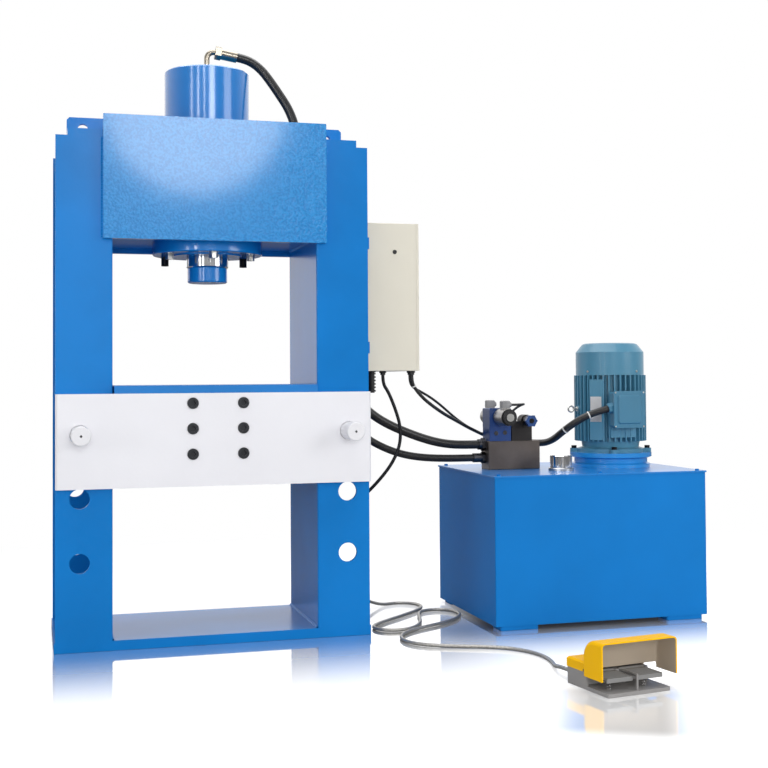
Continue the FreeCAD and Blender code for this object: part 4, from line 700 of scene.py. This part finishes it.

# ---- Pedal lead ----
# Steel-armoured lead from the cabinet, down past the column, in loops on the floor to the foot switch.
# Its colour blends from grey steel on the floor to near black above about 0.3 m.
pedal_lead_points = [(0.6, -0.12, 0.881), (0.6, -0.12, 0.85), (0.6193, -0.12, 0.8229),
                     (0.6438, -0.12, 0.7646), (0.6636, -0.12, 0.7009), (0.6623, -0.119, 0.6339),
                     (0.6339, -0.118, 0.5712), (0.5895, -0.112, 0.514), (0.5383, -0.098, 0.4601),
                     (0.491, -0.076, 0.4088), (0.4568, -0.044, 0.3487), (0.4423, -0.004, 0.281),
                     (0.4496, 0.044, 0.2139), (0.482, 0.096, 0.1509), (0.534, 0.148, 0.0985),
                     (0.59, 0.193, 0.057), (0.644, 0.232, 0.025), (0.702, 0.27, 0.0061),
                     (0.753, 0.291, 0.0061), (0.801, 0.279, 0.0061), (0.832, 0.24, 0.0061),
                     (0.834, 0.19, 0.0061), (0.806, 0.135, 0.0061), (0.757, 0.08, 0.0061),
                     (0.7, 0.024, 0.0061), (0.63, -0.041, 0.0061), (0.568, -0.106, 0.0061),
                     (0.55, -0.155, 0.0061), (0.569, -0.2, 0.0061), (0.613, -0.221, 0.0061),
                     (0.659, -0.21, 0.0061), (0.699, -0.1747, 0.0061), (0.732, -0.1175, 0.0061),
                     (0.7554, -0.041, 0.0061), (0.774, 0.04, 0.0061), (0.7943, 0.087, 0.0061),
                     (0.8333, 0.112, 0.0061), (0.88, 0.108, 0.0061), (0.9144, 0.076, 0.0061),
                     (0.9255, 0.028, 0.0061), (0.911, -0.028, 0.0061), (0.8712, -0.0891, 0.0061),
                     (0.806, -0.142, 0.0061), (0.728, -0.189, 0.0061), (0.655, -0.239, 0.0061),
                     (0.608, -0.299, 0.0061), (0.59, -0.37, 0.0061), (0.606, -0.439, 0.0061),
                     (0.658, -0.49, 0.0061), (0.73, -0.527, 0.0061), (0.806, -0.557, 0.0061),
                     (0.871, -0.595, 0.0061), (0.914, -0.652, 0.0061), (0.935, -0.714, 0.0061),
                     (0.938, -0.774, 0.0061), (0.93, -0.832, 0.0061), (0.912, -0.886, 0.01),
                     (0.897, -0.935, 0.02), (0.8933, -0.9805, 0.027), (0.9004, -1.025, 0.027)]
armour, tree, shader = new_material("lead armour")
shader.inputs["Metallic"].default_value = 0.7
shader.inputs["Roughness"].default_value = 0.42
place = tree.nodes.new("ShaderNodeTexCoord")
height = tree.nodes.new("ShaderNodeSeparateXYZ")
tree.links.new(place.outputs["Object"], height.inputs["Vector"])
grain = object_noise(tree, 320.0, 3.0)
steel = ramp(tree, grain.outputs["Fac"], (0.30, 0.29, 0.27, 1), (0.55, 0.53, 0.50, 1))
# Blends the steel grey into near black between 0.02 m and 0.30 m above the floor.
darkening_with_height = tree.nodes.new("ShaderNodeMapRange")
darkening_with_height.inputs["From Min"].default_value = 0.02
darkening_with_height.inputs["From Max"].default_value = 0.30
tree.links.new(height.outputs["Z"], darkening_with_height.inputs["Value"])
blend = tree.nodes.new("ShaderNodeMix")
blend.data_type = "RGBA"
tree.links.new(darkening_with_height.outputs["Result"], blend.inputs["Factor"])
tree.links.new(steel, blend.inputs["A"])
blend.inputs["B"].default_value = (0.025, 0.025, 0.027, 1)
tree.links.new(blend.outputs["Result"], shader.inputs["Base Color"])
bump(tree, shader, grain.outputs["Fac"], 0.6, 0.0006)
spline_cord("pedal_lead_cover", pedal_lead_points, 0.012, "pedal_lead", armour,
            round_steps=3)

# ---- Floor and backdrop ----
# Plain white polished studio floor with white behind it. It keeps the contact shadows
# and, close to each piece that stands on it, a reflection that fades out within a metre.
bpy.ops.mesh.primitive_plane_add(size=60, location=(0, 0, -0.0005))
floor = bpy.context.object
floor.name = "floor"
floor_material, tree, shader = new_material("studio floor")
dust = object_noise(tree, 2.0, 3.0)
floor_white = ramp(tree, dust.outputs["Fac"], (0.90, 0.90, 0.905, 1), (0.93, 0.93, 0.93, 1))
tree.links.new(floor_white, shader.inputs["Base Color"])
shader.inputs["Roughness"].default_value = 0.6
shader.inputs["Specular IOR Level"].default_value = 0.0
shader.inputs["Emission Color"].default_value = (1, 1, 1, 1)
shader.inputs["Emission Strength"].default_value = 0.40


def vector_step(tree, operation, first, second):
    step = tree.nodes.new("ShaderNodeVectorMath")
    step.operation = operation
    tree.links.new(first, step.inputs[0])
    if second is not None:
        step.inputs[1].default_value = second
    return step.outputs["Value" if operation == "LENGTH" else "Vector"]


def distance_from(tree, place, centre, half, turn):
    """Distance on the floor from a rectangle in front of a piece, which may be turned."""
    offset = vector_step(tree, "SUBTRACT", place, centre)
    turned = tree.nodes.new("ShaderNodeVectorRotate")
    turned.rotation_type = "Z_AXIS"
    turned.inputs["Angle"].default_value = math.radians(turn)
    tree.links.new(offset, turned.inputs["Vector"])
    offset = turned.outputs["Vector"]
    offset = vector_step(tree, "ABSOLUTE", offset, None)
    offset = vector_step(tree, "SUBTRACT", offset, half)
    offset = vector_step(tree, "MAXIMUM", offset, (0, 0, 0))
    return vector_step(tree, "LENGTH", offset, None)


def faded(tree, distance, near, far, at_near, at_far):
    fade = tree.nodes.new("ShaderNodeMapRange")
    fade.interpolation_type = "SMOOTHSTEP"
    fade.inputs["From Min"].default_value = near
    fade.inputs["From Max"].default_value = far
    fade.inputs["To Min"].default_value = at_near
    fade.inputs["To Max"].default_value = at_far
    tree.links.new(distance, fade.inputs["Value"])
    return fade.outputs["Result"]


def of_two(tree, operation, first, second):
    if first is None:
        return second
    step = tree.nodes.new("ShaderNodeMath")
    step.operation = operation
    tree.links.new(first, step.inputs[0])
    tree.links.new(second, step.inputs[1])
    return step.outputs["Value"]


place = tree.nodes.new("ShaderNodeTexCoord").outputs["Object"]
nearest = None
gloss = None
under_press = ((0, 0, 0), (0.50, 0.23, 1), 0, 0.95, 0.95)
under_tank = ((1.28, 0.03, 0), (0.42, 0.26, 1), 0, 0.95, 0.72)
before_pedal = ((0.895, -1.37, 0), (0.09, 0.17, 1), 26.4, 0.60, 0.14)
for centre, half, turn, share, reach in (under_press, under_tank, before_pedal):
    distance = distance_from(tree, place, centre, half, turn)
    nearest = of_two(tree, "MINIMUM", nearest, distance)
    gloss = of_two(tree, "MAXIMUM", gloss, faded(tree, distance, 0.0, reach, share, 0.0))
behind = tree.nodes.new("ShaderNodeSeparateXYZ")
tree.links.new(place, behind.inputs["Vector"])
gloss = of_two(tree, "MULTIPLY", gloss, faded(tree, behind.outputs["Y"], -0.25, 0.35, 1.0, 0.35))
mirror = tree.nodes.new("ShaderNodeBsdfGlossy")
mirror.inputs["Color"].default_value = (1, 1, 1, 1)
mirror.inputs["Roughness"].default_value = 0.06
polished = tree.nodes.new("ShaderNodeMixShader")
tree.links.new(gloss, polished.inputs["Fac"])
tree.links.new(shader.outputs["BSDF"], polished.inputs[1])
tree.links.new(mirror.outputs["BSDF"], polished.inputs[2])


def plain_diffuse(tree, grey):
    plain = tree.nodes.new("ShaderNodeBsdfDiffuse")
    plain.inputs["Color"].default_value = (grey, grey, grey, 1)
    return plain.outputs["BSDF"]


white = tree.nodes.new("ShaderNodeEmission")
white.inputs["Color"].default_value = (1, 1, 1, 1)
bleached = tree.nodes.new("ShaderNodeMixShader")
white_starts = 0.4
white_ends = 2.2
tree.links.new(faded(tree, nearest, white_starts, white_ends, 0.0, 1.0), bleached.inputs["Fac"])
tree.links.new(polished.outputs["Shader"], bleached.inputs[1])
tree.links.new(white.outputs["Emission"], bleached.inputs[2])
path = tree.nodes.new("ShaderNodeLightPath")
unseen = tree.nodes.new("ShaderNodeMixShader")
tree.links.new(path.outputs["Is Glossy Ray"], unseen.inputs["Fac"])
tree.links.new(plain_diffuse(tree, 0.60), unseen.inputs[1])
tree.links.new(plain_diffuse(tree, 0.30), unseen.inputs[2])
seen_or_lit = tree.nodes.new("ShaderNodeMixShader")
tree.links.new(path.outputs["Is Camera Ray"], seen_or_lit.inputs["Fac"])
tree.links.new(unseen.outputs["Shader"], seen_or_lit.inputs[1])
tree.links.new(bleached.outputs["Shader"], seen_or_lit.inputs[2])
tree.links.new(seen_or_lit.outputs["Shader"], tree.nodes["Material Output"].inputs["Surface"])
floor.data.materials.append(floor_material)

# The studio round the press is white to the camera. Gloss sees it bright behind the press
# and dimmer in front, and it lights the rest at half strength.
world = bpy.data.worlds.new("studio")
bpy.context.scene.world = world
world.use_nodes = True
tree = world.node_tree


def backdrop(tree, strength):
    light = tree.nodes.new("ShaderNodeBackground")
    light.inputs["Color"].default_value = (1, 1, 1, 1)
    light.inputs["Strength"].default_value = strength
    return light


def either(tree, factor, first, second):
    mix = tree.nodes.new("ShaderNodeMixShader")
    tree.links.new(factor, mix.inputs["Fac"])
    tree.links.new(first, mix.inputs[1])
    tree.links.new(second, mix.inputs[2])
    return mix.outputs["Shader"]


direction = tree.nodes.new("ShaderNodeTexCoord")
parts = tree.nodes.new("ShaderNodeSeparateXYZ")
tree.links.new(direction.outputs["Generated"], parts.inputs["Vector"])
front_to_back = tree.nodes.new("ShaderNodeMapRange")
front_to_back.interpolation_type = "SMOOTHSTEP"
front_to_back.inputs["From Min"].default_value = -0.5
front_to_back.inputs["From Max"].default_value = 0.5
front_to_back.inputs["To Min"].default_value = 0.40
front_to_back.inputs["To Max"].default_value = 1.2
tree.links.new(parts.outputs["Y"], front_to_back.inputs["Value"])
shone = backdrop(tree, 1.0)
tree.links.new(front_to_back.outputs["Result"], shone.inputs["Strength"])
path = tree.nodes.new("ShaderNodeLightPath")
half_lit = backdrop(tree, 0.50).outputs["Background"]
around = either(tree, path.outputs["Is Glossy Ray"], half_lit, shone.outputs["Background"])
seen = either(tree, path.outputs["Is Camera Ray"], around, backdrop(tree, 1.0).outputs["Background"])
tree.links.new(seen, tree.nodes["World Output"].inputs["Surface"])


# ---- Studio light ----
# A large soft box far in front, weak ones on the left and right and one overhead.
# A round box and three tall strips in front show only as gleams in the gloss.
def soft_box(name, place, target, size, power):
    light = bpy.data.lights.new(name, "AREA")
    light.shape = "RECTANGLE"
    light.size = size[0]
    light.size_y = size[1]
    light.energy = power
    lamp = bpy.data.objects.new(name, light)
    bpy.context.scene.collection.objects.link(lamp)
    lamp.location = place
    lamp.rotation_euler = (Vector(target) - Vector(place)).to_track_quat("-Z", "Y").to_euler()
    return lamp


gleam_distance = 5.5


def gleam(name, angle, height, size, radiance):
    """A box at an angle round from straight in front, that lights only glossy reflections."""
    round_to = math.radians(angle)
    place = (gleam_distance * math.sin(round_to), -gleam_distance * math.cos(round_to), height)
    lamp = soft_box(name, place, (0, 0, height), size, radiance * math.pi * size[0] * size[1])
    lamp.visible_diffuse = False
    return lamp


key = soft_box("key", (-0.35, -9.0, 1.9), (0.1, 0, 0.8), (3.0, 3.0), 285)
key.visible_glossy = False
side = soft_box("side", (-4.0, -2.0, 1.3), (0.2, 0, 0.8), (1.5, 1.5), 20)
side.visible_glossy = False
soft_box("fill", (4.2, -3.6, 2.2), (0.8, 0, 0.6), (2.0, 2.5), 65)
soft_box("top", (0.5, 0.3, 4.8), (0.5, 0, 0.5), (3.5, 3.5), 125)
gleam("plate_gleam", 6.0, 3.0, (1.40, 1.5), 9.0).data.shape = "ELLIPSE"
gleam("strip_a", -48.6, 2.3, (0.50, 2.8), 8.0)
gleam("strip_b", -30.7, 2.3, (0.26, 2.8), 18.0)
gleam("strip_c", -14.7, 3.25, (0.24, 0.9), 18.0)

# ---- Camera ----
# A little above the bed's height, left of the press and turned to the right,
# as the camera fitted to the photograph.
camera_data = bpy.data.cameras.new("camera")
camera_data.sensor_width = 36.0
camera_data.lens = 59.072
camera_data.shift_y = -0.05338
camera_data.clip_end = 100
camera = bpy.data.objects.new("camera", camera_data)
bpy.context.scene.collection.objects.link(camera)
camera.location = (-0.5904, -4.3937, 0.8664)
heading = math.radians(-15.628)
tilt = math.radians(91.644)
roll = math.radians(-0.374)
turn = Matrix.Rotation(heading, 4, "Z") @ Matrix.Rotation(tilt, 4, "X")
turn = turn @ Matrix.Rotation(roll, 4, "Z")
camera.rotation_euler = turn.to_euler()
bpy.context.scene.camera = camera

bpy.context.scene.view_settings.view_transform = "Standard"
